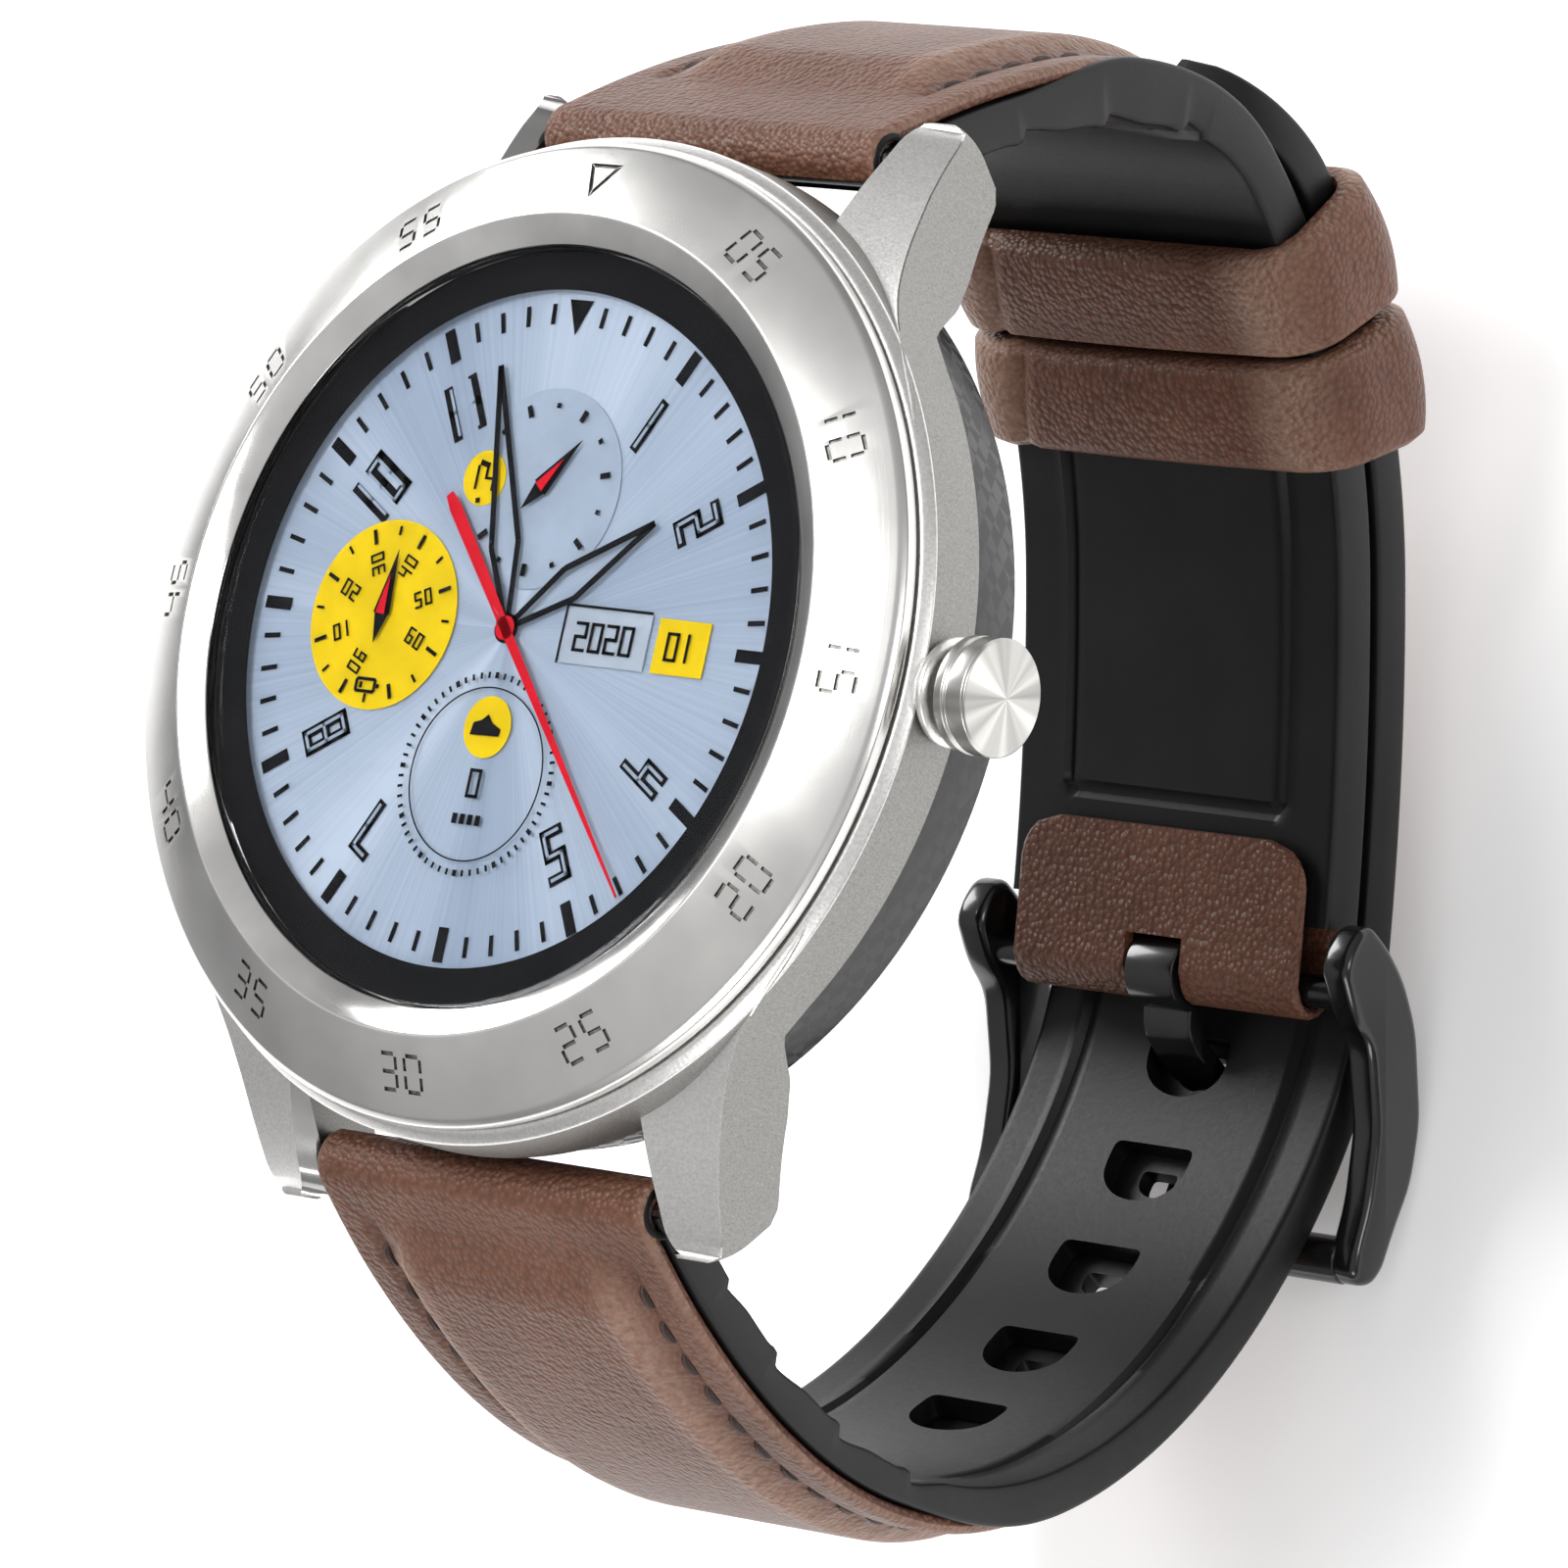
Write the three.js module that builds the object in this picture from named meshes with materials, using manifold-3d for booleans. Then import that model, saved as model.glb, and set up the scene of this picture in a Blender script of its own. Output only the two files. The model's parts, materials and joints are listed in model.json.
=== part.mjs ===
// Round smartwatch on a closed two-piece strap.
// Millimetres, +Z up through the dial, +Y to 12 o'clock, +X to the crown at 3 o'clock.
// The origin is on the dial's axis, in the flat outer face of the case back.
import * as THREE from 'three';
import { mergeVertices } from 'three/addons/utils/BufferGeometryUtils.js';
import Module from 'manifold-3d';

const wasm = await Module();
wasm.setup();

// ---- driving dimensions: case ---------------------------------------------------------------
const caseRadius = 24.6;
const caseBoreRadius = 22.0;
const caseWallInner = 20.4;
const caseBottomZ = 4.7;
const caseLedgeZ = 7.0;
const caseTopZ = 8.4;
const shoulderDrop = 0.5;
const seamGap = 0.2;

const bezelRadius = 24.0;
const bezelCrestRadius = 20.0;
const bezelTopZ = 11.3;
const bezelRimZ = 9.55;
const bezelSpigotBottomZ = 7.2;
const glassRadius = 18.4;
const glassThickness = 0.8;
const glassTopZ = 10.8;
const glassSeatWidth = 1.0;
const displayRadius = glassRadius - 1.2;
const displayThickness = 1.6;

const backFlatRadius = 22.8;
const backRimRadius = 24.3;
const backPlate = 1.4;
const windowRadius = 11.8;
const windowThickness = 1.1;
const screwCircle = 21.4;
const screwHeadRadius = 1.0;
const screwShankRadius = 0.55;

// ---- driving dimensions: lugs and spring bars -----------------------------------------------
const strapWidth = 21.8;
const lugGap = strapWidth + 0.4;
const barY = 25.6;
const barZ = 2.2;
const barRadius = 0.8;
const barPinRadius = 0.45;
const lugTipY = 27.6;
const lugTipWidth = 3.7;
const lugPinDepth = 1.6;

// ---- driving dimensions: crown --------------------------------------------------------------
const crownZ = 6.0;
const crownRadius = 2.8;
const crownLength = 2.0;
const crownTravel = 0.5;
const stemRadius = 0.6;
const tubeRadius = 1.15;
const tubeFlangeRadius = 2.6;
const tubeFlangeLength = 0.7;

// ---- driving dimensions: strap --------------------------------------------------------------
const buckleY = -5.6;
const buckleZ = -43.3;
const buckleBarInset = 0.5;
const strapRise = THREE.MathUtils.degToRad(10);
const flatArcRadius = 125;
const flatArcAngle = THREE.MathUtils.degToRad(9.4);
const wristArcRadius = 36;
const wristArcAngle = THREE.MathUtils.degToRad(36.5);
const tailEndAngle = THREE.MathUtils.degToRad(41);
const knuckleRadius = 1.6;
const leatherThickness = 1.0;
const linerUpper = 2.3;
const linerBack12 = 1.5;
const linerBack6 = 1.2;
const strapWidthBuckle = 21.0;
const tailWidth = 20.4;
const leatherInset = 0.6;
const layerGap = 0.1;
const tailGap = 0.85;
const splitGap = 0.4;
const holePitch = 6.3;
const holeCount = 5;
const holeWidth = 5.6;
const holeLength = 3.8;

// ---- driving dimensions: buckle and keepers -------------------------------------------------
const buckleBarRadius = 0.85;
const buckleInner = 22.2;
const armThickness = 2.0;
const tongueWidth = 3.2;
const tongueThickness = 1.0;
const flapLength = 7.5;
const keeperWidth = 6.3;
const keeperGap = 0.3;
const keeperWall = 1.2;
const keeperStartAngle = THREE.MathUtils.degToRad(10);

// ---- clearances -----------------------------------------------------------------------------
const fitGap = 0.1;
const runGap = 0.2;
const cutGap = 0.3;

// ---- materials ------------------------------------------------------------------------------
const finish = (color, roughness, metalness) => () =>
  new THREE.MeshStandardMaterial({ color, roughness, metalness });
const steel = finish(0xcfcdc8, 0.3, 1);
const blastedSteel = finish(0x8d8b86, 0.55, 1);
const blackMetal = finish(0x161616, 0.2, 0.6);
const composite = finish(0x2b2b2d, 0.6, 0);
const rubber = finish(0x2a2a2a, 0.7, 0);
const leather = finish(0x734b3c, 0.6, 0);
const glass = finish(0xdfe6ee, 0.05, 0);
const plastic = finish(0x303236, 0.6, 0);
const board = finish(0x1f5a34, 0.5, 0);
const gold = finish(0xc9a648, 0.3, 1);
const dialFinish = finish(0xaab9cd, 0.4, 0.2);

const watch = new THREE.Group();

// ---- helpers --------------------------------------------------------------------------------
function toSolid(geometry) {
  const bare = geometry.clone();
  bare.deleteAttribute('normal');
  bare.deleteAttribute('uv');
  const merged = mergeVertices(bare, 1e-4);
  const solid = new wasm.Manifold(new wasm.Mesh({
    numProp: 3,
    vertProperties: new Float32Array(merged.attributes.position.array),
    triVerts: new Uint32Array(merged.index.array),
  }));
  return solid;
}

function toGeometry(solid) {
  const mesh = solid.getMesh();
  const geometry = new THREE.BufferGeometry();
  geometry.setAttribute('position', new THREE.BufferAttribute(mesh.vertProperties, 3));
  geometry.setIndex(new THREE.BufferAttribute(mesh.triVerts, 1));
  return geometry;
}

// Adds one named piece. The shape is either a geometry or a boolean solid.
function add(name, shape, material) {
  const geometry = shape.isBufferGeometry ? shape : toGeometry(shape);
  const mesh = new THREE.Mesh(geometry, material());
  mesh.name = name;
  watch.add(mesh);
}

// A ring or disc turned about Z. The profile holds [radius, height] pairs, counter-clockwise.
function turned(profile, segments = 48) {
  const points = [...profile, profile[0]].map(([r, z]) => new THREE.Vector2(r, z));
  return new THREE.LatheGeometry(points, segments).rotateX(Math.PI / 2);
}

// The same, turned about an axis along X through (y, z). Heights become X.
function turnedX(profile, y, z, segments = 24) {
  return turned(profile, segments).rotateY(Math.PI / 2).translate(0, y, z);
}

const disc = (radius, z0, z1) => [[0, z0], [radius, z0], [radius, z1], [0, z1]];
const ring = (inner, outer, z0, z1) => [[inner, z0], [outer, z0], [outer, z1], [inner, z1]];

// A rod along X between x0 and x1.
function rodX(radius, x0, x1, y, z, segments = 16) {
  return new THREE.CylinderGeometry(radius, radius, x1 - x0, segments)
    .rotateZ(Math.PI / 2).translate((x0 + x1) / 2, y, z);
}

// A rod along Z between z0 and z1.
function rodZ(radius, x, y, z0, z1, segments = 16) {
  return new THREE.CylinderGeometry(radius, radius, z1 - z0, segments)
    .rotateX(Math.PI / 2).translate(x, y, (z0 + z1) / 2);
}

function block(x0, x1, y0, y1, z0, z1) {
  return new THREE.BoxGeometry(x1 - x0, y1 - y0, z1 - z0)
    .translate((x0 + x1) / 2, (y0 + y1) / 2, (z0 + z1) / 2);
}

// A side outline of [y, z] pairs, extruded along X from x0 to x1.
function slab(outline, x0, x1) {
  const shape = new THREE.Shape(outline.map(([y, z]) => new THREE.Vector2(y, z)));
  const geometry = new THREE.ExtrudeGeometry(shape, { depth: x1 - x0, bevelEnabled: false });
  const toSide = new THREE.Matrix4().makeBasis(
    new THREE.Vector3(0, 1, 0), new THREE.Vector3(0, 0, 1), new THREE.Vector3(1, 0, 0));
  return geometry.applyMatrix4(toSide).translate(x0, 0, 0);
}

// A plan outline of [x, y] pairs, extruded along Z from z0 to z1.
function plate(outline, z0, z1) {
  const shape = new THREE.Shape(outline.map(([x, y]) => new THREE.Vector2(x, y)));
  return new THREE.ExtrudeGeometry(shape, { depth: z1 - z0, bevelEnabled: false })
    .translate(0, 0, z0);
}

// ---- case, bezel, glass and back ------------------------------------------------------------
const glassBottomZ = glassTopZ - glassThickness;
const glassSeatZ = glassBottomZ - 0.3;
const bezelBore = glassRadius + fitGap;
const seatBore = bezelBore - glassSeatWidth;
const spigotRadius = caseBoreRadius - runGap;
const bezelBottomZ = caseTopZ + seamGap;

add('bezel', turned([
  [seatBore, bezelSpigotBottomZ], [spigotRadius, bezelSpigotBottomZ],
  [spigotRadius, bezelBottomZ], [bezelRadius, bezelBottomZ],
  [bezelRadius, bezelRimZ - 0.35], [bezelRadius - 0.3, bezelRimZ],
  [bezelCrestRadius, bezelTopZ], [bezelBore, glassTopZ - fitGap],
  [bezelBore, glassSeatZ], [seatBore, glassSeatZ],
]), steel);
add('bezel_gasket', turned(
  ring(caseBoreRadius + 0.3, bezelRadius - 0.6, caseTopZ + 0.05, bezelBottomZ - 0.05), 32,
), rubber);
add('glass', turned(disc(glassRadius, glassBottomZ, glassTopZ)), glass);
add('glass_gasket', turned(
  ring(seatBore + fitGap, glassRadius, glassSeatZ + 0.05, glassBottomZ - 0.05), 32,
), rubber);

const displayTopZ = glassBottomZ - 0.05;
const displayBottomZ = displayTopZ - displayThickness;
add('display_panel', turned(disc(displayRadius, displayBottomZ, displayTopZ)), dialFinish);

const chassisRadius = caseWallInner - 1.5;
const chassisTopZ = bezelSpigotBottomZ - fitGap;
const chassisBottomZ = chassisTopZ - 0.9;
add('inner_chassis', turned([
  [0, chassisBottomZ], [chassisRadius, chassisBottomZ], [chassisRadius, chassisTopZ],
  [displayRadius, chassisTopZ], [displayRadius, displayBottomZ - fitGap],
  [displayRadius - 1, displayBottomZ - fitGap], [displayRadius - 1, chassisTopZ - 0.1],
  [0, chassisTopZ - 0.1],
], 32), plastic);

// The lug's side outline and its plan outline meet in the real, tapering lug.
const lugInnerX = lugGap / 2;
const lugSide = [
  [10, caseBottomZ], [15, 3.2], [19, 1.7], [22, 0.5], [lugTipY - 3.3, -0.6], [lugTipY - 2.4, -0.5],
  [lugTipY - 0.3, 1.6], [lugTipY, 2.3], [lugTipY - 0.5, 2.8], [24, 5.0], [20, 6.8], [16, 8.0],
  [10, caseTopZ],
];
const lugPlan = [
  [lugInnerX, 10], [21.5, 10], [19.2, 15.4], [lugInnerX + 6.5, 17.4], [lugInnerX + 5.5, 19],
  [lugInnerX + 4.6, 22.5],
  [lugInnerX + lugTipWidth, lugTipY + 0.2], [lugInnerX, lugTipY + 0.2],
];
const lugBlank = toSolid(slab(lugSide, lugInnerX, caseRadius))
  .intersect(toSolid(plate(lugPlan, -2, caseTopZ + 1)));
const backChamfer = 0.6;
const backEnvelope = toSolid(turned([
  [0, -3], [backFlatRadius + cutGap, -3], [backFlatRadius + cutGap, 0],
  [backFlatRadius + backChamfer + cutGap, backChamfer],
  [backRimRadius + cutGap, caseBottomZ - seamGap], [backRimRadius + cutGap, caseBottomZ],
  [0, caseBottomZ],
]));
const caseRoom = toSolid(turned(disc(caseRadius - 0.8, caseBottomZ - 1, caseTopZ + 2)));

let caseSolid = toSolid(turned([
  [caseWallInner, caseBottomZ], [caseRadius, caseBottomZ],
  [caseRadius, caseTopZ - shoulderDrop], [bezelRadius + 0.1, caseTopZ],
  [caseBoreRadius, caseTopZ], [caseBoreRadius, caseLedgeZ], [caseWallInner, caseLedgeZ],
]));
const pinHoleRadius = barPinRadius + runGap;
for (const sideX of [1, -1]) {
  for (const sideY of [1, -1]) {
    let lug = lugBlank.subtract(backEnvelope).subtract(caseRoom);
    if (sideX < 0) lug = lug.mirror([1, 0, 0]);
    if (sideY < 0) lug = lug.mirror([0, 1, 0]);
    const inner = sideX * (lugInnerX - 1);
    const end = sideX * (lugInnerX + lugPinDepth);
    const hole = rodX(pinHoleRadius, Math.min(inner, end), Math.max(inner, end), sideY * barY, barZ, 12);
    caseSolid = caseSolid.add(lug).subtract(toSolid(hole));
  }
}

// One bore takes the crown's tube, and the collar and clip that move behind it.
const tubeInnerX = caseWallInner + 1.4;
const flangeX = caseRadius + fitGap;
caseSolid = caseSolid
  .subtract(toSolid(rodX(tubeRadius + fitGap, caseWallInner - 1, caseRadius + 1, 0, crownZ, 20)));

const screwSeatZ = 1.2;
const backTopZ = caseBottomZ - seamGap;
const screwTipZ = caseLedgeZ - 0.8;
let backSolid = toSolid(turned([
  [windowRadius + fitGap, 0], [backFlatRadius, 0], [backFlatRadius + backChamfer, backChamfer],
  [backRimRadius, backTopZ], [caseWallInner, backTopZ], [caseWallInner, backPlate],
  [windowRadius + fitGap, backPlate],
]));
const screwPlaces = [45, 135, 225, 315].map((degrees) => {
  const a = THREE.MathUtils.degToRad(degrees);
  return [screwCircle * Math.cos(a), screwCircle * Math.sin(a)];
});
for (const [x, y] of screwPlaces) {
  const headRoom = toSolid(rodZ(screwHeadRadius + 0.15, x, y, -0.5, screwSeatZ, 16));
  const shankRoom = toSolid(rodZ(screwShankRadius + fitGap, x, y, 0, screwTipZ + 0.2, 12));
  backSolid = backSolid.subtract(headRoom).subtract(shankRoom);
  caseSolid = caseSolid.subtract(shankRoom);
}
screwPlaces.forEach(([x, y], i) => {
  const head = toSolid(rodZ(screwHeadRadius, x, y, 0.25, screwSeatZ - 0.05, 16));
  const shank = toSolid(rodZ(screwShankRadius, x, y, 0.6, screwTipZ, 12));
  const slot = toSolid(block(x - screwHeadRadius, x + screwHeadRadius, y - 0.15, y + 0.15, 0, 0.6));
  add(`case_screw_${i + 1}`, head.add(shank).subtract(slot), steel);
});

// Two charging contacts pass through the back plate beside the window, with a magnet by each.
const contactY = 16.4;
const contactRadius = 1.0;
const contactX = 2.0;
for (const side of [-1, 1]) {
  backSolid = backSolid.subtract(
    toSolid(rodZ(contactRadius + fitGap, side * contactX, -contactY, -0.5, 2, 16)));
}
[-1, 1].forEach((side, i) => {
  add(`charge_contact_${i + 1}`,
    rodZ(contactRadius, side * contactX, -contactY, 0.05, backPlate + 0.4, 16), gold);
  add(`charge_magnet_${i + 1}`,
    rodZ(1.6, side * 6.2, -contactY, backPlate + fitGap, backPlate + 1.9, 16), steel);
});
add('mid_case', caseSolid, blastedSteel);
add('case_back', backSolid, composite);
add('back_gasket', turned(
  ring(caseBoreRadius + 0.6, backRimRadius - 0.6, backTopZ + 0.05, caseBottomZ - 0.05), 32), rubber);
add('sensor_window', turned(disc(windowRadius, 0, windowThickness), 32), glass);

// ---- electronics ----------------------------------------------------------------------------
const boardTopZ = chassisBottomZ - 0.5;
const boardBottomZ = boardTopZ - 0.8;
add('main_board', turned(disc(16.6, boardBottomZ, boardTopZ), 40), board);
add('battery', block(-11, 11, -12, 12, 2.6, boardBottomZ - fitGap), plastic);
add('sensor_board', block(-5, 5, -4, 4, 1.4, 2.3), board);
add('vibration_motor', rodZ(3.6, -15.4, 0, backPlate + fitGap, boardBottomZ - 0.4, 24), steel);
add('speaker', block(12.2, 17.2, -10.4, -2.8, backPlate + fitGap, boardBottomZ - 0.4), plastic);
add('microphone', block(12.6, 16.6, 3.2, 8.2, 2.9, boardBottomZ - fitGap), plastic);

// ---- crown ----------------------------------------------------------------------------------
const tubeBore = stemRadius + runGap;
const switchFaceX = caseWallInner - 1.2;
const collarInnerX = switchFaceX + crownTravel + fitGap;
const collarOuterX = collarInnerX + 1.1;
const clipX = collarOuterX + 0.35;
const capInnerX = flangeX + tubeFlangeLength + crownTravel + fitGap;
const capOuterX = capInnerX + crownLength;
const sealX = (tubeInnerX + flangeX) / 2;
const stemNeck = stemRadius - 0.2;
const clipRadius = tubeRadius - fitGap;

add('crown_tube', turnedX([
  [tubeBore, tubeInnerX], [tubeRadius, tubeInnerX], [tubeRadius, flangeX],
  [tubeFlangeRadius, flangeX], [tubeFlangeRadius, flangeX + tubeFlangeLength - 0.2],
  [tubeFlangeRadius - 0.2, flangeX + tubeFlangeLength], [tubeBore, flangeX + tubeFlangeLength],
], 0, crownZ, 24), steel);
add('crown_cap', turnedX([
  [stemRadius + fitGap, capInnerX], [crownRadius - 0.25, capInnerX],
  [crownRadius, capInnerX + 0.25], [crownRadius, capInnerX + 0.7],
  [crownRadius - 0.15, capInnerX + 0.8], [crownRadius - 0.15, capInnerX + 0.9],
  [crownRadius, capInnerX + 1.0], [crownRadius, capOuterX - 0.15],
  [crownRadius - 0.15, capOuterX], [0, capOuterX + 0.25], [0, capInnerX + 0.9],
  [stemRadius + fitGap, capInnerX + 0.9],
], 0, crownZ, 28), steel);
add('crown_stem', turnedX([
  [0, collarInnerX + 0.6], [stemRadius, collarInnerX + 0.6], [stemRadius, clipX - fitGap],
  [stemNeck, clipX - fitGap], [stemNeck, clipX + 0.4], [stemRadius, clipX + 0.4],
  [stemRadius, sealX - 0.4], [stemNeck, sealX - 0.4], [stemNeck, sealX + 0.4],
  [stemRadius, sealX + 0.4], [stemRadius, capInnerX + 0.8], [0, capInnerX + 0.8],
], 0, crownZ, 16), steel);
add('crown_seal', turnedX(
  ring(stemNeck + 0.05, tubeBore - 0.05, sealX - 0.3, sealX + 0.3), 0, crownZ, 16), rubber);
add('stem_clip', turnedX(ring(stemNeck + 0.05, clipRadius, clipX, clipX + 0.3), 0, crownZ, 16),
  steel);
add('press_collar', turnedX([
  [0, collarInnerX], [clipRadius, collarInnerX], [clipRadius, collarOuterX],
  [stemRadius + fitGap, collarOuterX], [stemRadius + fitGap, collarInnerX + 0.5],
  [0, collarInnerX + 0.5],
], 0, crownZ, 16), plastic);
add('crown_switch', block(switchFaceX - 2, switchFaceX, -2, 2, crownZ - 1.2, chassisBottomZ - 0.05),
  plastic);

// ---- spring bars ----------------------------------------------------------------------------
const barHalf = strapWidth / 2 - 0.5;
for (const [clock, y] of [['12', barY], ['6', -barY]]) {
  add(`bar_${clock}_tube`, turnedX(
    ring(barPinRadius + fitGap, barRadius, -barHalf, barHalf), y, barZ, 16), steel);
  add(`bar_${clock}_pin_right`,
    rodX(barPinRadius, barHalf - 2, lugInnerX + lugPinDepth - runGap, y, barZ, 12), steel);
  add(`bar_${clock}_pin_left`,
    rodX(barPinRadius, -lugInnerX - lugPinDepth + runGap, -barHalf + 2, y, barZ, 12), steel);
}

// ---- strap lines ----------------------------------------------------------------------------
// Both halves share one line at the back of the wrist: a flat arc from the buckle bar, then a
// tighter arc. A line is a list of places along it, each with its point, its direction of
// travel and its outward side, in the YZ plane.
function arcPlaces(centre, radius, from, to, steps) {
  return Array.from({ length: steps + 1 }, (_, i) => {
    const a = from + (to - from) * (i / steps);
    const out = new THREE.Vector2(Math.sin(a), -Math.cos(a));
    return { point: centre.clone().addScaledVector(out, radius), out };
  });
}

const buckleBar = new THREE.Vector2(buckleY, buckleZ);
const up = (angle) => new THREE.Vector2(-Math.sin(angle), Math.cos(angle));
const along = (angle) => new THREE.Vector2(Math.cos(angle), Math.sin(angle));
const kneeAngle = strapRise + flatArcAngle;
const lineStart = buckleBar.clone().addScaledVector(up(strapRise), -buckleBarInset);
const flatCentre = lineStart.clone().addScaledVector(up(strapRise), flatArcRadius);
const knee = flatCentre.clone().addScaledVector(up(kneeAngle), -flatArcRadius);
const wristCentre = knee.clone().addScaledVector(up(kneeAngle), wristArcRadius);
const wristEndAngle = kneeAngle + wristArcAngle;
const wristEnd = wristCentre.clone().addScaledVector(up(wristEndAngle), -wristArcRadius);

// A bend between two points, leaving the first and reaching the second in the given directions.
function bendPlaces(start, startAngle, startPull, end, endAngle, endPull, steps) {
  const curve = new THREE.CubicBezierCurve(
    start, start.clone().addScaledVector(along(startAngle), startPull),
    end.clone().addScaledVector(along(endAngle), -endPull), end);
  return Array.from({ length: steps + 1 }, (_, i) => {
    const t = i / steps;
    const travel = curve.getTangent(t);
    return { point: curve.getPoint(t), out: new THREE.Vector2(travel.y, -travel.x) };
  });
}

const bar12 = new THREE.Vector2(barY, barZ);
const bar6 = new THREE.Vector2(-barY, barZ);
const deg = THREE.MathUtils.degToRad;
const upper12 = bendPlaces(wristEnd, wristEndAngle, 8.7, bar12, deg(124), 9.6, 12);
const back12 = [
  ...arcPlaces(flatCentre, flatArcRadius, strapRise, kneeAngle, 4),
  ...arcPlaces(wristCentre, wristArcRadius, kneeAngle, wristEndAngle, 7).slice(1),
];

// The tail of the 6 o'clock half lies outside the 12 o'clock half, one offset further out.
const half12 = (linerBack12 + leatherThickness + layerGap) / 2;
const half6 = (linerBack6 + leatherThickness + layerGap) / 2;
const tailOffset = half12 + tailGap + half6;
const tailStart = flatCentre.clone().addScaledVector(up(strapRise), -flatArcRadius - tailOffset);
const front6 = bendPlaces(bar6, deg(-130), 42, tailStart, strapRise, 14, 24);
const tail6 = [
  ...arcPlaces(flatCentre, flatArcRadius + tailOffset, strapRise, kneeAngle, 4).slice(1),
  ...arcPlaces(wristCentre, wristArcRadius + tailOffset, kneeAngle, kneeAngle + tailEndAngle, 8)
    .slice(1),
];

// Distance along a line at each of its places.
function distances(places) {
  const result = [0];
  for (let i = 1; i < places.length; i += 1) {
    result.push(result[i - 1] + places[i].point.distanceTo(places[i - 1].point));
  }
  return result;
}

function placeAt(places, runs, s) {
  let i = 1;
  while (i < runs.length - 1 && runs[i] < s) i += 1;
  const t = (s - runs[i - 1]) / (runs[i] - runs[i - 1]);
  return {
    point: places[i - 1].point.clone().lerp(places[i].point, t),
    out: places[i - 1].out.clone().lerp(places[i].out, t).normalize(),
  };
}

// The stretch of a line from distance s0 to s1, keeping the places between.
function stretch(places, s0, s1) {
  const runs = distances(places);
  const inside = runs.map((s, i) => ({ ...places[i], s })).filter(({ s }) =>
    s > s0 + 0.2 && s < s1 - 0.2);
  return [{ ...placeAt(places, runs, s0), s: s0 }, ...inside, { ...placeAt(places, runs, s1), s: s1 }];
}

// A closed band that follows a stretch. section(s) gives the outline as [x, distance outward]
// pairs, counter-clockwise seen against the direction of travel.
function band(places, section) {
  const rings = places.map(({ point, out, s }) => section(s).map(([x, d]) =>
    [x, point.x + out.x * d, point.y + out.y * d]));
  const count = rings[0].length;
  const positions = rings.flat(2);
  const index = [];
  for (let i = 0; i < rings.length - 1; i += 1) {
    for (let j = 0; j < count; j += 1) {
      const a = i * count + j;
      const b = i * count + ((j + 1) % count);
      index.push(a, b, b + count, a, b + count, a + count);
    }
  }
  const last = (rings.length - 1) * count;
  for (let j = 1; j < count - 1; j += 1) {
    index.push(0, j + 1, j);
    index.push(last, last + j, last + j + 1);
  }
  const geometry = new THREE.BufferGeometry();
  geometry.setAttribute('position', new THREE.Float32BufferAttribute(positions, 3));
  geometry.setIndex(index);
  return geometry;
}

// A flat section with cut corners, between two distances from the line.
function flatSection(halfWidth, low, high, corner) {
  return [
    [halfWidth, low + corner], [halfWidth, high - corner], [halfWidth - corner, high],
    [corner - halfWidth, high], [-halfWidth, high - corner], [-halfWidth, low + corner],
    [corner - halfWidth, low], [halfWidth - corner, low],
  ];
}

const mix = (a, b, t) => a + (b - a) * Math.min(1, Math.max(0, t));

// ---- strap, 12 o'clock half -----------------------------------------------------------------
// Distances run from the buckle bar towards the lugs.
const line12 = [...back12, ...upper12.slice(1)];
const runs12 = distances(line12);
const back12Length = distances(back12).at(-1);
const full12 = runs12.at(-1);
const split12 = back12Length + 3.0;
const flex12 = placeAt(line12, runs12, split12).point;

function width12(s) {
  return mix(strapWidthBuckle, strapWidth, (s - 20) / (full12 - 30)) / 2;
}
function liner12(s) {
  return mix(linerBack12, linerUpper, (s - back12Length) / 12);
}
function layers12(s) {
  const total = liner12(s) + layerGap + leatherThickness;
  const low = -total / 2;
  return { low, mid: low + liner12(s), high: total / 2 };
}
const linerSection12 = (s) => {
  const { low, mid } = layers12(s);
  return flatSection(width12(s), low, mid, 0.3);
};
const leatherSection12 = (s) => {
  const { mid, high } = layers12(s);
  return flatSection(width12(s) - leatherInset, mid + layerGap, high, 0.3);
};

function knuckle(solid, y, z) {
  const half = strapWidth / 2;
  return solid
    .add(toSolid(rodX(knuckleRadius, -half, half, y, z, 24)))
    .subtract(toSolid(rodX(barRadius + runGap, -half - 1, half + 1, y, z, 20)));
}

const leatherStart = knuckleRadius + cutGap;
const linerEnd12 = 3.2;
add('strap_12_liner_upper', knuckle(
  toSolid(band(stretch(line12, split12 + splitGap / 2, full12 - 0.5), linerSection12)), barY, barZ,
), rubber);
add('strap_12_leather_upper',
  band(stretch(line12, split12 + splitGap / 2, full12 - leatherStart), leatherSection12), leather);
add('strap_12_liner_back',
  band(stretch(line12, linerEnd12, split12 - splitGap / 2), linerSection12), rubber);

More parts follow.
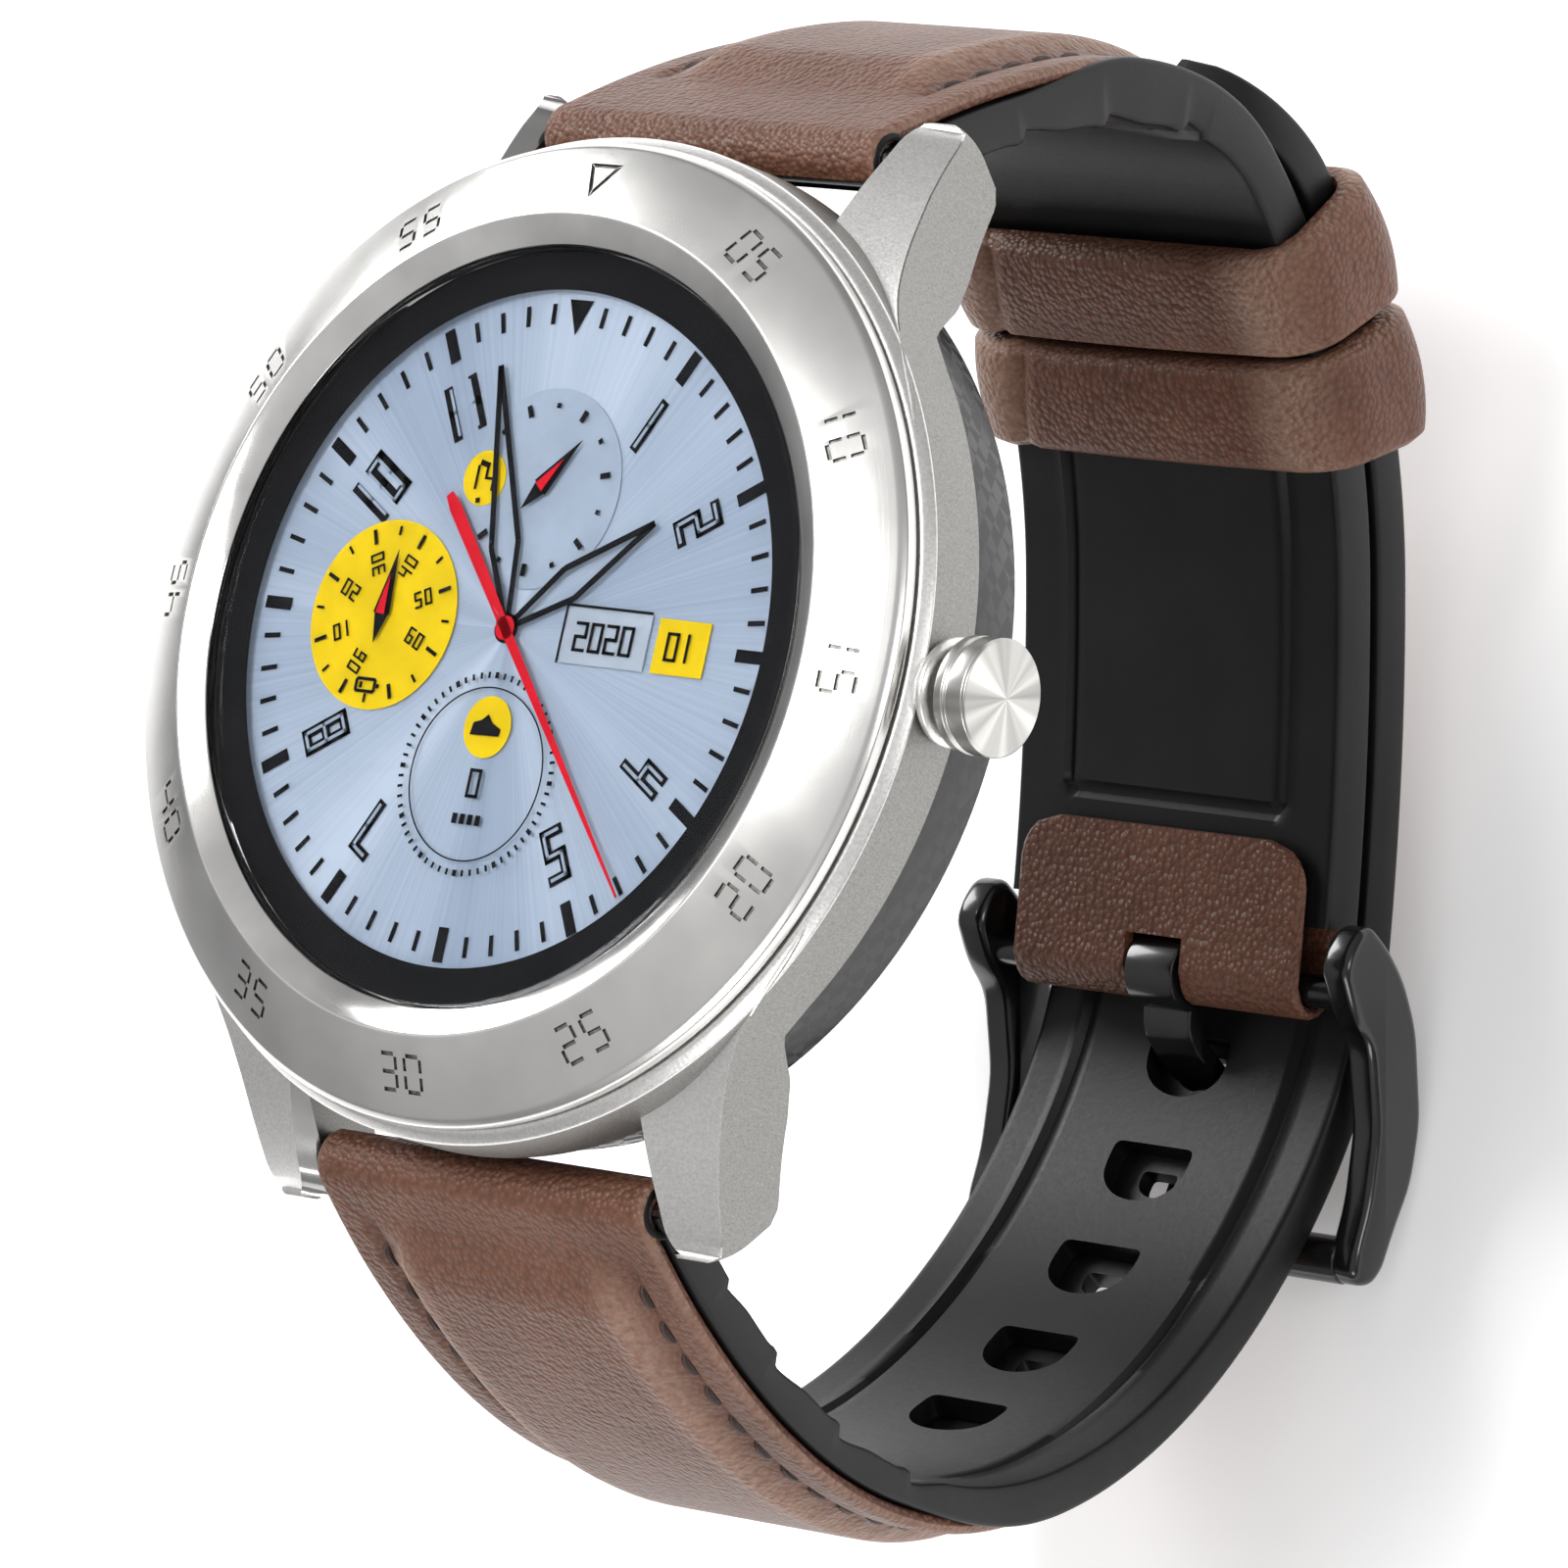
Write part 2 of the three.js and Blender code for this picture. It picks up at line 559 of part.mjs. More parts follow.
// The outer leather runs on round the buckle bar and folds back inside as a flap, with a slot
// for the tongue.
const foldBore = buckleBarRadius + runGap;
const foldRadius = foldBore + leatherThickness - 0.1;
const foldHalf = strapWidthBuckle / 2 - leatherInset;
const flapSection = (s) => {
  const { low } = layers12(s);
  return flatSection(foldHalf, low - layerGap - leatherThickness, low - layerGap, 0.3);
};
const slotHalf = tongueWidth / 2 + runGap;
const slotDirection = along(strapRise);
const tongueSlot = toSolid(new THREE.BoxGeometry(2 * slotHalf, 6.2, 8)
  .rotateX(strapRise)
  .translate(0, buckleY - slotDirection.x * 0.9, buckleZ - slotDirection.y * 0.9));
add('strap_12_leather_back', toSolid(
  band(stretch(line12, 0.6, split12 - splitGap / 2), leatherSection12))
  .add(toSolid(rodX(foldRadius, -foldHalf, foldHalf, buckleY, buckleZ, 24)))
  .add(toSolid(band(stretch(line12, 0.3, flapLength), flapSection)))
  .subtract(toSolid(rodX(foldBore, -foldHalf - 1, foldHalf + 1, buckleY, buckleZ, 20)))
  .subtract(tongueSlot), leather);

// ---- strap, 6 o'clock half ------------------------------------------------------------------
// Distances run from the lugs to the tail's tip.
const line6 = [...front6, ...tail6];
const runs6 = distances(line6);
const front6Length = distances(front6).at(-1);
const full6 = runs6.at(-1);
const split6 = 27;
const flex6 = placeAt(line6, runs6, split6).point;
const tipTaper = 7;

function width6(s) {
  const straight = mix(strapWidth, tailWidth, (s - 15) / 40) / 2;
  const left = Math.max(0, full6 - s);
  const round = left < tipTaper ? Math.sqrt(1 - ((tipTaper - left) / tipTaper) ** 2) : 1;
  return straight * (0.45 + 0.55 * round);
}
function liner6(s) {
  return mix(linerUpper, linerBack6, (s - 5) / 30);
}
function layers6(s) {
  const total = liner6(s) + layerGap + leatherThickness;
  const low = -total / 2;
  return { low, mid: low + liner6(s), high: total / 2 };
}
const linerSection6 = (s) => {
  const { low, mid } = layers6(s);
  return flatSection(width6(s), low, mid, 0.3);
};
const leatherSection6 = (s) => {
  const { mid, high } = layers6(s);
  return flatSection(width6(s) - leatherInset, mid + layerGap, high, 0.3);
};

// The first hole takes the tongue. The rest follow towards the lugs at an even pitch.
const firstHoleS = front6Length - 5.2;
const holeTools = Array.from({ length: holeCount }, (_, i) => {
  const { point, out } = placeAt(line6, runs6, firstHoleS - i * holePitch);
  const tilt = Math.atan2(out.y, out.x) + Math.PI / 2;
  return toSolid(new THREE.CylinderGeometry(holeLength / 2, holeLength / 2, 6, 14)
    .scale(holeWidth / holeLength, 1, 1)
    .rotateX(Math.PI / 2 + tilt)
    .translate(0, point.x, point.y));
});
const punched = (solid) => holeTools.reduce((body, tool) => body.subtract(tool), solid);

add('strap_6_liner_upper', knuckle(
  toSolid(band(stretch(line6, 0.5, split6 - splitGap / 2), linerSection6)), -barY, barZ), rubber);
add('strap_6_leather_upper',
  band(stretch(line6, leatherStart, split6 - splitGap / 2), leatherSection6), leather);
add('strap_6_liner_back', punched(
  toSolid(band(stretch(line6, split6 + splitGap / 2, full6), linerSection6))), rubber);
add('strap_6_leather_back', punched(
  toSolid(band(stretch(line6, split6 + splitGap / 2, full6 - leatherInset), leatherSection6))),
leather);

// ---- buckle ---------------------------------------------------------------------------------
const crossbarRadius = 1.2;
const crossbarS = firstHoleS - 7.6;
const crossbarPlace = placeAt(line6, runs6, crossbarS);
const crossbar = crossbarPlace.point.clone()
  .addScaledVector(crossbarPlace.out, layers6(crossbarS).high + cutGap + crossbarRadius);
const armSpan = buckleBar.clone().sub(crossbar);
const armAxis = armSpan.clone().normalize();
const armOut = new THREE.Vector2(armAxis.y, -armAxis.x);
const armPoint = (run, out) => {
  const p = crossbar.clone().addScaledVector(armAxis, run).addScaledVector(armOut, out);
  return [p.x, p.y];
};
const armLength = armSpan.length();
const armOutline = [
  armPoint(armLength + 2.0, -1.9), armPoint(armLength + 3.6, -1.0), armPoint(armLength + 4.0, 0.2),
  armPoint(armLength + 2.2, 2.0), armPoint(armLength - 1, 3.7), armPoint(armLength / 2, 4.3),
  armPoint(3, 3.2), armPoint(0, crossbarRadius + 0.3), armPoint(-1.1, 0.6), armPoint(-0.9, -0.8),
  armPoint(0, -crossbarRadius), armPoint(armLength / 2, 0.6), armPoint(armLength - 2.2, 0.2),
  armPoint(armLength - 1, -1.2),
].reverse();
const armInnerX = buckleInner / 2;
const armOuterX = armInnerX + armThickness;
add('buckle_frame', toSolid(slab(armOutline, armInnerX, armOuterX))
  .add(toSolid(slab(armOutline, -armOuterX, -armInnerX)))
  .add(toSolid(rodX(crossbarRadius, -armInnerX - 0.5, armInnerX + 0.5, crossbar.x, crossbar.y, 16)))
  .subtract(toSolid(rodX(buckleBarRadius + fitGap, -armOuterX - 1, armOuterX + 1, buckleY, buckleZ, 20))),
blackMetal);
add('buckle_bar', rodX(buckleBarRadius, -armOuterX + 0.2, armOuterX - 0.2, buckleY, buckleZ, 16),
  blackMetal);

// The tongue turns on the bar, dives through the first hole and rests on the crossbar. Its
// places are given as distances from the bar towards the lugs, and outward.
const restHeight = crossbarRadius + fitGap + tongueThickness / 2;
const fromBar = (run, out) => new THREE.Vector3(
  0, buckleY - along(strapRise).x * run + up(strapRise).x * -out,
  buckleZ - along(strapRise).y * run - up(strapRise).y * out);
const overCrossbar = (run) => new THREE.Vector3(
  0, crossbar.x + armOut.x * restHeight + armAxis.x * run,
  crossbar.y + armOut.y * restHeight + armAxis.y * run);
const tongueLine = new THREE.CatmullRomCurve3([
  fromBar(1.4, 0.3), fromBar(3.2, 0.7), fromBar(5.3, 3.3), fromBar(7.0, 5.4),
  overCrossbar(1.5), overCrossbar(-1.0),
]);
const tonguePlaces = tongueLine.getSpacedPoints(12).map((p, i) => {
  const t = tongueLine.getTangentAt(i / 12);
  return { point: new THREE.Vector2(p.y, p.z), out: new THREE.Vector2(t.z, -t.y), s: i };
});
const tongueHalf = tongueWidth / 2;
const fingerHeight = tongueThickness / 2;
add('buckle_tongue', toSolid(band(tonguePlaces,
  () => flatSection(tongueHalf, -fingerHeight, fingerHeight, 0.3)))
  .add(toSolid(rodX(foldRadius - 0.1, -tongueHalf, tongueHalf, buckleY, buckleZ, 20)))
  .subtract(toSolid(rodX(foldBore, -tongueHalf - 1, tongueHalf + 1, buckleY, buckleZ, 20))),
blackMetal);

// ---- keepers --------------------------------------------------------------------------------
// Two leather loops round both layers, free to slide on the tighter arc.
const keeperLow = -half12 - runGap - 0.1;
const keeperHigh = half12 + tailGap + 2 * half6 + runGap + 0.1;
const keeperHalf = width12(runs12[4] + wristArcRadius * (keeperStartAngle + 0.3)) + runGap;
const loopSection = (low, high, half, corner) => () => flatSection(half, low, high, corner);
function keeper(startAngle) {
  const endAngle = startAngle + keeperWidth / wristArcRadius;
  const extra = 0.05;
  const outer = arcPlaces(wristCentre, wristArcRadius, startAngle, endAngle, 2);
  const inner = arcPlaces(wristCentre, wristArcRadius, startAngle - extra, endAngle + extra, 4);
  return toSolid(band(outer,
    loopSection(keeperLow - keeperWall, keeperHigh + keeperWall, keeperHalf + keeperWall, 0.9)))
    .subtract(toSolid(band(inner, loopSection(keeperLow, keeperHigh, keeperHalf, 0.3))));
}
const keeperStep = (keeperWidth + keeperGap) / wristArcRadius;
add('keeper_lower', keeper(kneeAngle + keeperStartAngle), leather);
add('keeper_upper', keeper(kneeAngle + keeperStartAngle + keeperStep), leather);

// Hinge places that the strap's joints turn about, kept with the group.
watch.userData.hinges = { flex12, flex6, wristCentre, buckleBar };

export default watch;
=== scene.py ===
# %% [markdown]
# # A round smartwatch on a closed leather strap
# The imported model holds every part that fits or moves. This lesson gives those parts their looks:
# finer metal, a dial, padded leather and moulded rubber. All but the strap's layers and stitches ride
# on the body they belong to.

# %% Load the frame
import json
import math

import bmesh
import bpy
from mathutils import Matrix, Vector


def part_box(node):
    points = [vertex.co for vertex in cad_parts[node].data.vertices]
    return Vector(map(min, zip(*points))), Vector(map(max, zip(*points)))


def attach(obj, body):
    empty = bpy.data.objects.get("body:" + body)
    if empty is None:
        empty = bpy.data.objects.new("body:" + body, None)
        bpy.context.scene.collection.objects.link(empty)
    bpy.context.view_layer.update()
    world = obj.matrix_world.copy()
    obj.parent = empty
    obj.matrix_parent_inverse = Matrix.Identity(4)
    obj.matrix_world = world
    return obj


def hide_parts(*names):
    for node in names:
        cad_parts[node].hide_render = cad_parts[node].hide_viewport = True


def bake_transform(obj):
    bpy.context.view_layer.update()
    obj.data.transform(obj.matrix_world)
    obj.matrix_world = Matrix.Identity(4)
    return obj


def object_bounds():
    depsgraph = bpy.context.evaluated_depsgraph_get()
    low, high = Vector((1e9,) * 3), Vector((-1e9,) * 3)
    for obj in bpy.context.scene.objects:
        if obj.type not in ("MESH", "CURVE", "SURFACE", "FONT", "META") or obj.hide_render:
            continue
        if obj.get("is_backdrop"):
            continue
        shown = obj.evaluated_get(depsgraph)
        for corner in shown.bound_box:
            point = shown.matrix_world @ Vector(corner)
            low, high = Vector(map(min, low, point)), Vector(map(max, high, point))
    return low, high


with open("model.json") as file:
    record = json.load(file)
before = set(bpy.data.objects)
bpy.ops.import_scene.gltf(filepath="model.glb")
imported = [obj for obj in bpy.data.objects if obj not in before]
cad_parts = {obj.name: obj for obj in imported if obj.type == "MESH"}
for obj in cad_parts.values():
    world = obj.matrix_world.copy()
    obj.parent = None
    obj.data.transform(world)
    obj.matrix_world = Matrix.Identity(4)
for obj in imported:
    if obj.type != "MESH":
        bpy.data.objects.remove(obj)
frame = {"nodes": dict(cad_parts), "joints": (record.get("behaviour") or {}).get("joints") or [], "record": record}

cad_low, cad_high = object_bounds()
MM = 0.001
print("CAD box, mm:", [round(v / MM, 1) for v in (*cad_low, *cad_high)])

# %% [markdown]
# A camera needs a place and three directions: right, up and back. They make up its matrix. Three
# angles would do too, but directions show at a glance where it looks: down on the dial, from the
# crown's side. The lens is long, so sizes hardly shrink with depth.

# %% The camera
camera_data = bpy.data.cameras.new("camera")
camera_data.lens = 270.19
camera_data.sensor_width = 36.0
camera = bpy.data.objects.new("camera", camera_data)
bpy.context.scene.collection.objects.link(camera)
camera_back = Vector((0.666356, -0.099773, 0.738928)).normalized()
camera_right = Vector((0.739837, 0.211800, -0.638578))
camera_right = (camera_right - camera_back * camera_right.dot(camera_back)).normalized()
camera_up = camera_back.cross(camera_right)
turn = Matrix((camera_right, camera_up, camera_back)).transposed()
camera.matrix_world = Matrix.Translation(Vector((382.32, -60.08, 412.36)) * MM) @ turn.to_4x4()
bpy.context.scene.camera = camera
print("camera looks along", [round(v, 2) for v in -camera_back])

# %% [markdown]
# The watch stands on pale paper. A thick block could be the floor, but one flat face is enough to
# take a soft shadow. A faint glow keeps the paper near white, and the stage call says that it
# isn't part of the watch.

# %% The floor
floor_mesh = bpy.data.meshes.new("floor")
half = 3.0
floor_mesh.from_pydata(
    [(-half, -half, 0), (half, -half, 0), (half, half, 0), (-half, half, 0)], [], [(0, 1, 2, 3)])
floor = bpy.data.objects.new("floor", floor_mesh)
floor.location.z = cad_low.z
bpy.context.scene.collection.objects.link(floor)
floor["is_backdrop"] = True

paper = bpy.data.materials.new("pale_paper")
paper.use_nodes = True
paper.node_tree.nodes["Principled BSDF"].inputs["Base Color"].default_value = (0.97, 0.97, 0.97, 1)
paper.node_tree.nodes["Principled BSDF"].inputs["Roughness"].default_value = 0.9
paper.node_tree.nodes["Principled BSDF"].inputs["Emission Color"].default_value = (1, 1, 1, 1)
paper.node_tree.nodes["Principled BSDF"].inputs["Emission Strength"].default_value = 0.22
floor_mesh.materials.append(paper)
print("floor side, m:", 2 * half)

# %% [markdown]
# In a studio, light comes off the walls and the ceiling too. A picture of a room could give it,
# but a ramp from grey below to white above is simpler and needs no file. It gives round metal a
# light side and a dark side.

# %% The sky
world = bpy.data.worlds.new("studio")
bpy.context.scene.world = world
world.use_nodes = True
sky = world.node_tree.nodes
sky["Background"].inputs["Strength"].default_value = 0.62
direction = sky.new("ShaderNodeTexCoord").outputs["Generated"]
height = sky.new("ShaderNodeSeparateXYZ")
world.node_tree.links.new(direction, height.inputs[0])
shade_of_sky = sky.new("ShaderNodeValToRGB")
shade_of_sky.color_ramp.elements[0].color = (0.3, 0.3, 0.31, 1)
shade_of_sky.color_ramp.elements[1].color = (1, 1, 1, 1)
shade_of_sky.color_ramp.elements[1].position = 0.85
world.node_tree.links.new(height.outputs["Z"], shade_of_sky.inputs[0])
world.node_tree.links.new(shade_of_sky.outputs[0], sky["Background"].inputs["Color"])
bpy.context.scene.view_settings.view_transform = "Standard"
print("sky strength:", sky["Background"].inputs["Strength"].default_value)

# %% [markdown]
# Turned steel shows each lamp as bright fans, so the lamps decide how the bezel looks. A sun would
# be too hard, and square lamps are soft. One is almost overhead, one is low on the far side, and
# two weak ones lift the crown and the lower half of the strap.

# %% The lamps
def lamp(name, place, size, power):
    """A square soft lamp that faces the watch."""
    data = bpy.data.lights.new(name, "AREA")
    data.size = size
    data.energy = power
    obj = bpy.data.objects.new(name, data)
    obj.location = place
    obj.rotation_euler = (-Vector(place)).to_track_quat("-Z", "Y").to_euler()
    bpy.context.scene.collection.objects.link(obj)


lamp("key_lamp", (-0.08, 0.16, 0.85), 0.35, 5.0)
lamp("far_lamp", (-0.72, 0.4, 0.36), 0.35, 4.0)
lamp("side_lamp", (0.8, 0.1, 0.35), 0.25, 1.2)
lamp("low_lamp", (0.35, -0.7, 0.35), 0.3, 1.6)

# %% [markdown]
# A finish is a tree of nodes. Each could be wired by hand, but three helpers keep that short: one
# starts a material with plain values on its shader, one adds a node with its settings, and one
# gives the place on the watch. Places are the frame's own metres, so a noise of scale 1000 has
# features of about a millimetre.

# %% Start a finish
def finish(name, colour, roughness, metallic=0.0, **sockets):
    """Starts a material with plain values on the shader's own sockets."""
    material = bpy.data.materials.new(name)
    material.use_nodes = True
    shader = material.node_tree.nodes["Principled BSDF"]
    shader.inputs["Base Color"].default_value = (*colour, 1)
    shader.inputs["Roughness"].default_value = roughness
    shader.inputs["Metallic"].default_value = metallic
    for socket, value in sockets.items():
        shader.inputs[socket.replace("_", " ")].default_value = value
    return material, shader


def node(material, kind, links=(), **settings):
    """Adds a node. Settings name its fields or sockets, and links are (socket, output) pairs."""
    made = material.node_tree.nodes.new("ShaderNode" + kind)
    for key, value in settings.items():
        if hasattr(made, key):
            setattr(made, key, value)
        else:
            made.inputs[key.replace("_", " ")].default_value = value
    for socket, output in links:
        material.node_tree.links.new(output, made.inputs[socket])
    return made


def places(material):
    return node(material, "TexCoord").outputs["Object"]


print("noise of scale 1000 has features of", 1 / 1000 / MM, "mm")

# %% [markdown]
# No real finish is quite even. These helpers let a pattern drive the colour, the roughness or the
# bumps. Bumps are chained one after the other, so a finish can have coarse and fine ones at once.

# %% Patterns in a finish
def noise(material, scale, detail=2.0, vector=None):
    vector = vector or places(material)
    return node(material, "TexNoise", [("Vector", vector)], Scale=scale, Detail=detail).outputs["Fac"]


def ramp(material, value, stops):
    """Turns a value into a colour. Stops are (place, colour) pairs."""
    made = node(material, "ValToRGB", [("Fac", value)])
    elements = made.color_ramp.elements
    while len(elements) < len(stops):
        elements.new(0.5)
    for element, (place, colour) in zip(elements, stops):
        element.position = place
        element.color = (*colour, 1)
    return made.outputs["Color"]


def bump(material, shader, height, depth, strength=1.0):
    """Adds a bump. The depth is in metres."""
    before = shader.inputs["Normal"].links
    links = [("Height", height)]
    if before:
        links.append(("Normal", before[0].from_socket))
    made = node(material, "Bump", links, Distance=depth, Strength=strength)
    material.node_tree.links.new(made.outputs["Normal"], shader.inputs["Normal"])


def tint(material, shader, colour):
    material.node_tree.links.new(colour, shader.inputs["Base Color"])


def spread(material, shader, value, low, high):
    """Lets the roughness wander between two values."""
    made = node(material, "MapRange", [("Value", value)], To_Min=low, To_Max=high)
    material.node_tree.links.new(made.outputs["Result"], shader.inputs["Roughness"])


print("pattern helpers:", [helper.__name__ for helper in (noise, ramp, bump, tint, spread)])

# %% [markdown]
# Turned or brushed steel has marks along circles or rays. A picture of scratches could be wrapped
# on, but a pattern made from the distance and the angle round an axis has no seam and no limit of
# size. The tangent node tells the shader which way the marks run.

# %% Places round an axis
STEEL = (0.74, 0.73, 0.71)


def polar(material, axis):
    """Distance from an axis and angle round it, as two outputs."""
    parts = node(material, "SeparateXYZ", [("Vector", places(material))]).outputs
    if axis == "Z":
        across, along = parts["X"], parts["Y"]
    else:
        across = parts["Y"]
        along = node(material, "Math", [(0, parts["Z"])], operation="SUBTRACT")
        along.inputs[1].default_value = crown_axis_z
        along = along.outputs[0]
    a2 = node(material, "Math", [(0, across), (1, across)], operation="MULTIPLY").outputs[0]
    b2 = node(material, "Math", [(0, along), (1, along)], operation="MULTIPLY").outputs[0]
    total = node(material, "Math", [(0, a2), (1, b2)], operation="ADD").outputs[0]
    radius = node(material, "Math", [(0, total)], operation="SQRT").outputs[0]
    angle = node(material, "Math", [(0, along), (1, across)], operation="ARCTAN2").outputs[0]
    return radius, angle


def along_rings(material, shader, axis):
    """Turns the brushing round an axis, so that highlights stretch across it."""
    tangent = node(material, "Tangent", direction_type="RADIAL", axis=axis)
    material.node_tree.links.new(tangent.outputs[0], shader.inputs["Tangent"])


print("colour of the steel:", STEEL)

# %% [markdown]
# The bezel comes off a lathe, with rings far too fine to cut into a mesh. A noise that depends
# only on the distance from the axis gives them as bumps. The uneven shine along and across them
# pulls each highlight into a bow tie.

# %% Turned steel
def turned_steel():
    material, shader = finish("turned_steel", STEEL, 0.26, 1.0, Anisotropic=0.6)
    along_rings(material, shader, "Z")
    radius, _ = polar(material, "Z")
    rings = noise(material, 9000, 3, node(material, "CombineXYZ", [("X", radius)]).outputs[0])
    smear = noise(material, 160, 3)
    tint(material, shader, ramp(material, smear, [(0.3, (0.66, 0.65, 0.635)), (0.7, (0.8, 0.79, 0.77))]))
    spread(material, shader, smear, 0.2, 0.3)
    bump(material, shader, rings, 0.000004, 0.35)
    return material


TURNED = turned_steel()
print("made", TURNED.name)

# %% [markdown]
# The case is blasted with grit, which leaves an even grain. It could be a plain grey, but then it
# would look like paint. A fine noise varies its colour, its roughness and its surface. It comes in
# two copies: a dark one for the sides, whose colour is painted shade, and a light one for the faces
# that look up, whose colour is painted light.

# %% Blasted steel
# The dark copy of the case steel, for the sides: its colour is painted shade.
def blasted_steel():
    material, shader = finish("case_steel_painted_shade", (0.5, 0.495, 0.48), 0.45, 1.0)
    grain = noise(material, 9000, 3)
    tint(material, shader, ramp(material, grain, [(0.3, (0.22, 0.215, 0.205)), (0.7, (0.34, 0.335, 0.32))]))
    spread(material, shader, grain, 0.38, 0.52)
    bump(material, shader, grain, 0.00002, 0.4)
    return material


# The light copy, for faces that look up: its colour is painted light.
def bright_blasted_steel():
    material, shader = finish("case_steel_painted_light", (0.66, 0.655, 0.64), 0.36, 1.0)
    grain = noise(material, 6500, 4)
    tint(material, shader, ramp(material, grain, [(0.3, (0.7, 0.69, 0.675)), (0.7, (0.86, 0.85, 0.83))]))
    spread(material, shader, grain, 0.3, 0.42)
    bump(material, shader, grain, 0.000025, 0.4)
    return material


STEEL_PAINTED_SHADE, STEEL_PAINTED_LIGHT = blasted_steel(), bright_blasted_steel()
print("made", STEEL_PAINTED_SHADE.name, STEEL_PAINTED_LIGHT.name)

# %% [markdown]
# The crown's face is brushed outward from its middle, so under light it shows light and dark rays.
# Here they are painted reflection: cutting the rays would need very many faces, so a noise of the
# angle alone gives them in the colour. The axis comes from the box of the CAD crown.

# %% The crown's brushed steel
def sunray_steel():
    material, shader = finish("sunray_steel", STEEL, 0.28, 1.0, Anisotropic=0.75)
    along_rings(material, shader, "X")
    radius, angle = polar(material, "X")
    painted_ray_reflection = noise(material, 1.3, 2, node(material, "CombineXYZ", [("X", angle)]).outputs[0])
    rings = noise(material, 9000, 3, node(material, "CombineXYZ", [("X", radius)]).outputs[0])
    # The light and dark rays in this colour are painted reflection.
    tint(material, shader, ramp(material, painted_ray_reflection, [(0.38, (0.3, 0.295, 0.28)), (0.62, (0.72, 0.71, 0.68))]))
    bump(material, shader, rings, 0.000004, 0.4)
    return material


crown_low, crown_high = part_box("crown_cap")
crown_axis_z = (crown_low.z + crown_high.z) / 2
SUNRAY = sunray_steel()
print("made", SUNRAY.name, "round z =", round(crown_axis_z / MM, 2))

# %% [markdown]
# Three more steels are for small places. Engraved grooves are dull, and their dark colour is painted
# shade; narrow bevels are polished, and screws and pins are satin. All three use the same noise at
# different scales.

# %% Steel in grooves, on bevels and on pins
# Dull steel for the grooves; its dark colour is painted shade.
def groove_steel():
    material, shader = finish("groove_steel", (0.3, 0.29, 0.27), 0.4, 1.0)
    grain = noise(material, 4000, 3)
    tint(material, shader, ramp(material, grain, [(0.3, (0.13, 0.125, 0.12)), (0.7, (0.33, 0.32, 0.3))]))
    return material


def polished_steel():
    material, shader = finish("bevel_steel", STEEL, 0.1, 1.0)
    smear = noise(material, 200, 3)
    tint(material, shader, ramp(material, smear, [(0.3, (0.6, 0.59, 0.58)), (0.7, (0.8, 0.79, 0.77))]))
    spread(material, shader, smear, 0.07, 0.16)
    return material


def small_steel():
    material, shader = finish("small_steel", STEEL, 0.3, 1.0)
    grain = noise(material, 3000, 3)
    tint(material, shader, ramp(material, grain, [(0.3, (0.62, 0.61, 0.6)), (0.7, (0.78, 0.77, 0.75))]))
    spread(material, shader, grain, 0.22, 0.36)
    return material


SMALL_STEEL, GROOVE_PAINTED_SHADE, POLISHED = small_steel(), groove_steel(), polished_steel()
print("made", SMALL_STEEL.name, GROOVE_PAINTED_SHADE.name, POLISHED.name)

# %% [markdown]
# Leather is a pebble of small cells over slow waves of colour. Noise alone looks like sand, so a
# Voronoi pattern makes the cells. Where a ridge is rubbed, the wax has gone and it is paler; the
# same paler colour also stands for painted highlight on ridges, edges and keeper corners. That
# mix of wear and highlight is a number from 0 to 1 at each point of the mesh, which the finish reads.

# %% Leather
LEATHER, LEATHER_WORN_AND_HIGHLIGHT = (0.13, 0.052, 0.033), (0.3, 0.18, 0.13)


def strap_leather():
    material, shader = finish("strap_leather", LEATHER, 0.5)
    shader.inputs["Specular IOR Level"].default_value = 0.3
    shader.inputs["Sheen Weight"].default_value = 0.02
    shader.inputs["Sheen Roughness"].default_value = 0.4
    cloud = noise(material, 140, 4)
    pores = noise(material, 2600, 3)
    base = ramp(material, cloud, [(0.3, (0.1, 0.037, 0.02)), (0.7, (0.155, 0.062, 0.036))])
    cells = node(material, "TexVoronoi", [("Vector", places(material))], Scale=3000.0).outputs["Distance"]
    # Each cell is lighter in its middle and darker at its rim: painted shade between the pebbles.
    fine = ramp(material, cells, [(0.15, (1.1, 1.08, 1.06)), (0.8, (0.7, 0.67, 0.64))])
    mixed = node(material, "Mix", data_type="RGBA", blend_type="MULTIPLY")
    mixed.inputs[0].default_value = 1.0
    material.node_tree.links.new(base, mixed.inputs[6])
    material.node_tree.links.new(fine, mixed.inputs[7])
    # The paler colour is worn leather and painted highlight together.
    wear_and_highlight = node(material, "Attribute", attribute_name="wear_and_highlight").outputs["Fac"]
    patchy = node(material, "Math", [(0, wear_and_highlight), (1, pores)], operation="MULTIPLY").outputs[0]
    amount = node(material, "Math", [(0, patchy)], operation="MULTIPLY", use_clamp=True)
    amount.inputs[1].default_value = 1.7
    worn = node(material, "Mix", data_type="RGBA")
    material.node_tree.links.new(amount.outputs[0], worn.inputs[0])
    material.node_tree.links.new(mixed.outputs[2], worn.inputs[6])
    worn.inputs[7].default_value = (*LEATHER_WORN_AND_HIGHLIGHT, 1)
    tint(material, shader, worn.outputs[2])
    spread(material, shader, pores, 0.32, 0.52)
    height = node(material, "Math", [(1, cells)], operation="SUBTRACT")
    height.inputs[0].default_value = 1.0
    bump(material, shader, height.outputs[0], 0.00016, 0.8)
    bump(material, shader, noise(material, 700, 4), 0.0002, 0.5)
    return material


STRAP_LEATHER = strap_leather()
print("nodes in the leather:", len(STRAP_LEATHER.node_tree.nodes))

# %% [markdown]
# The thread is waxed and twisted. Each twist could be a coil, but a stitch is so short that a
# distorted wave in colour and bump is enough.

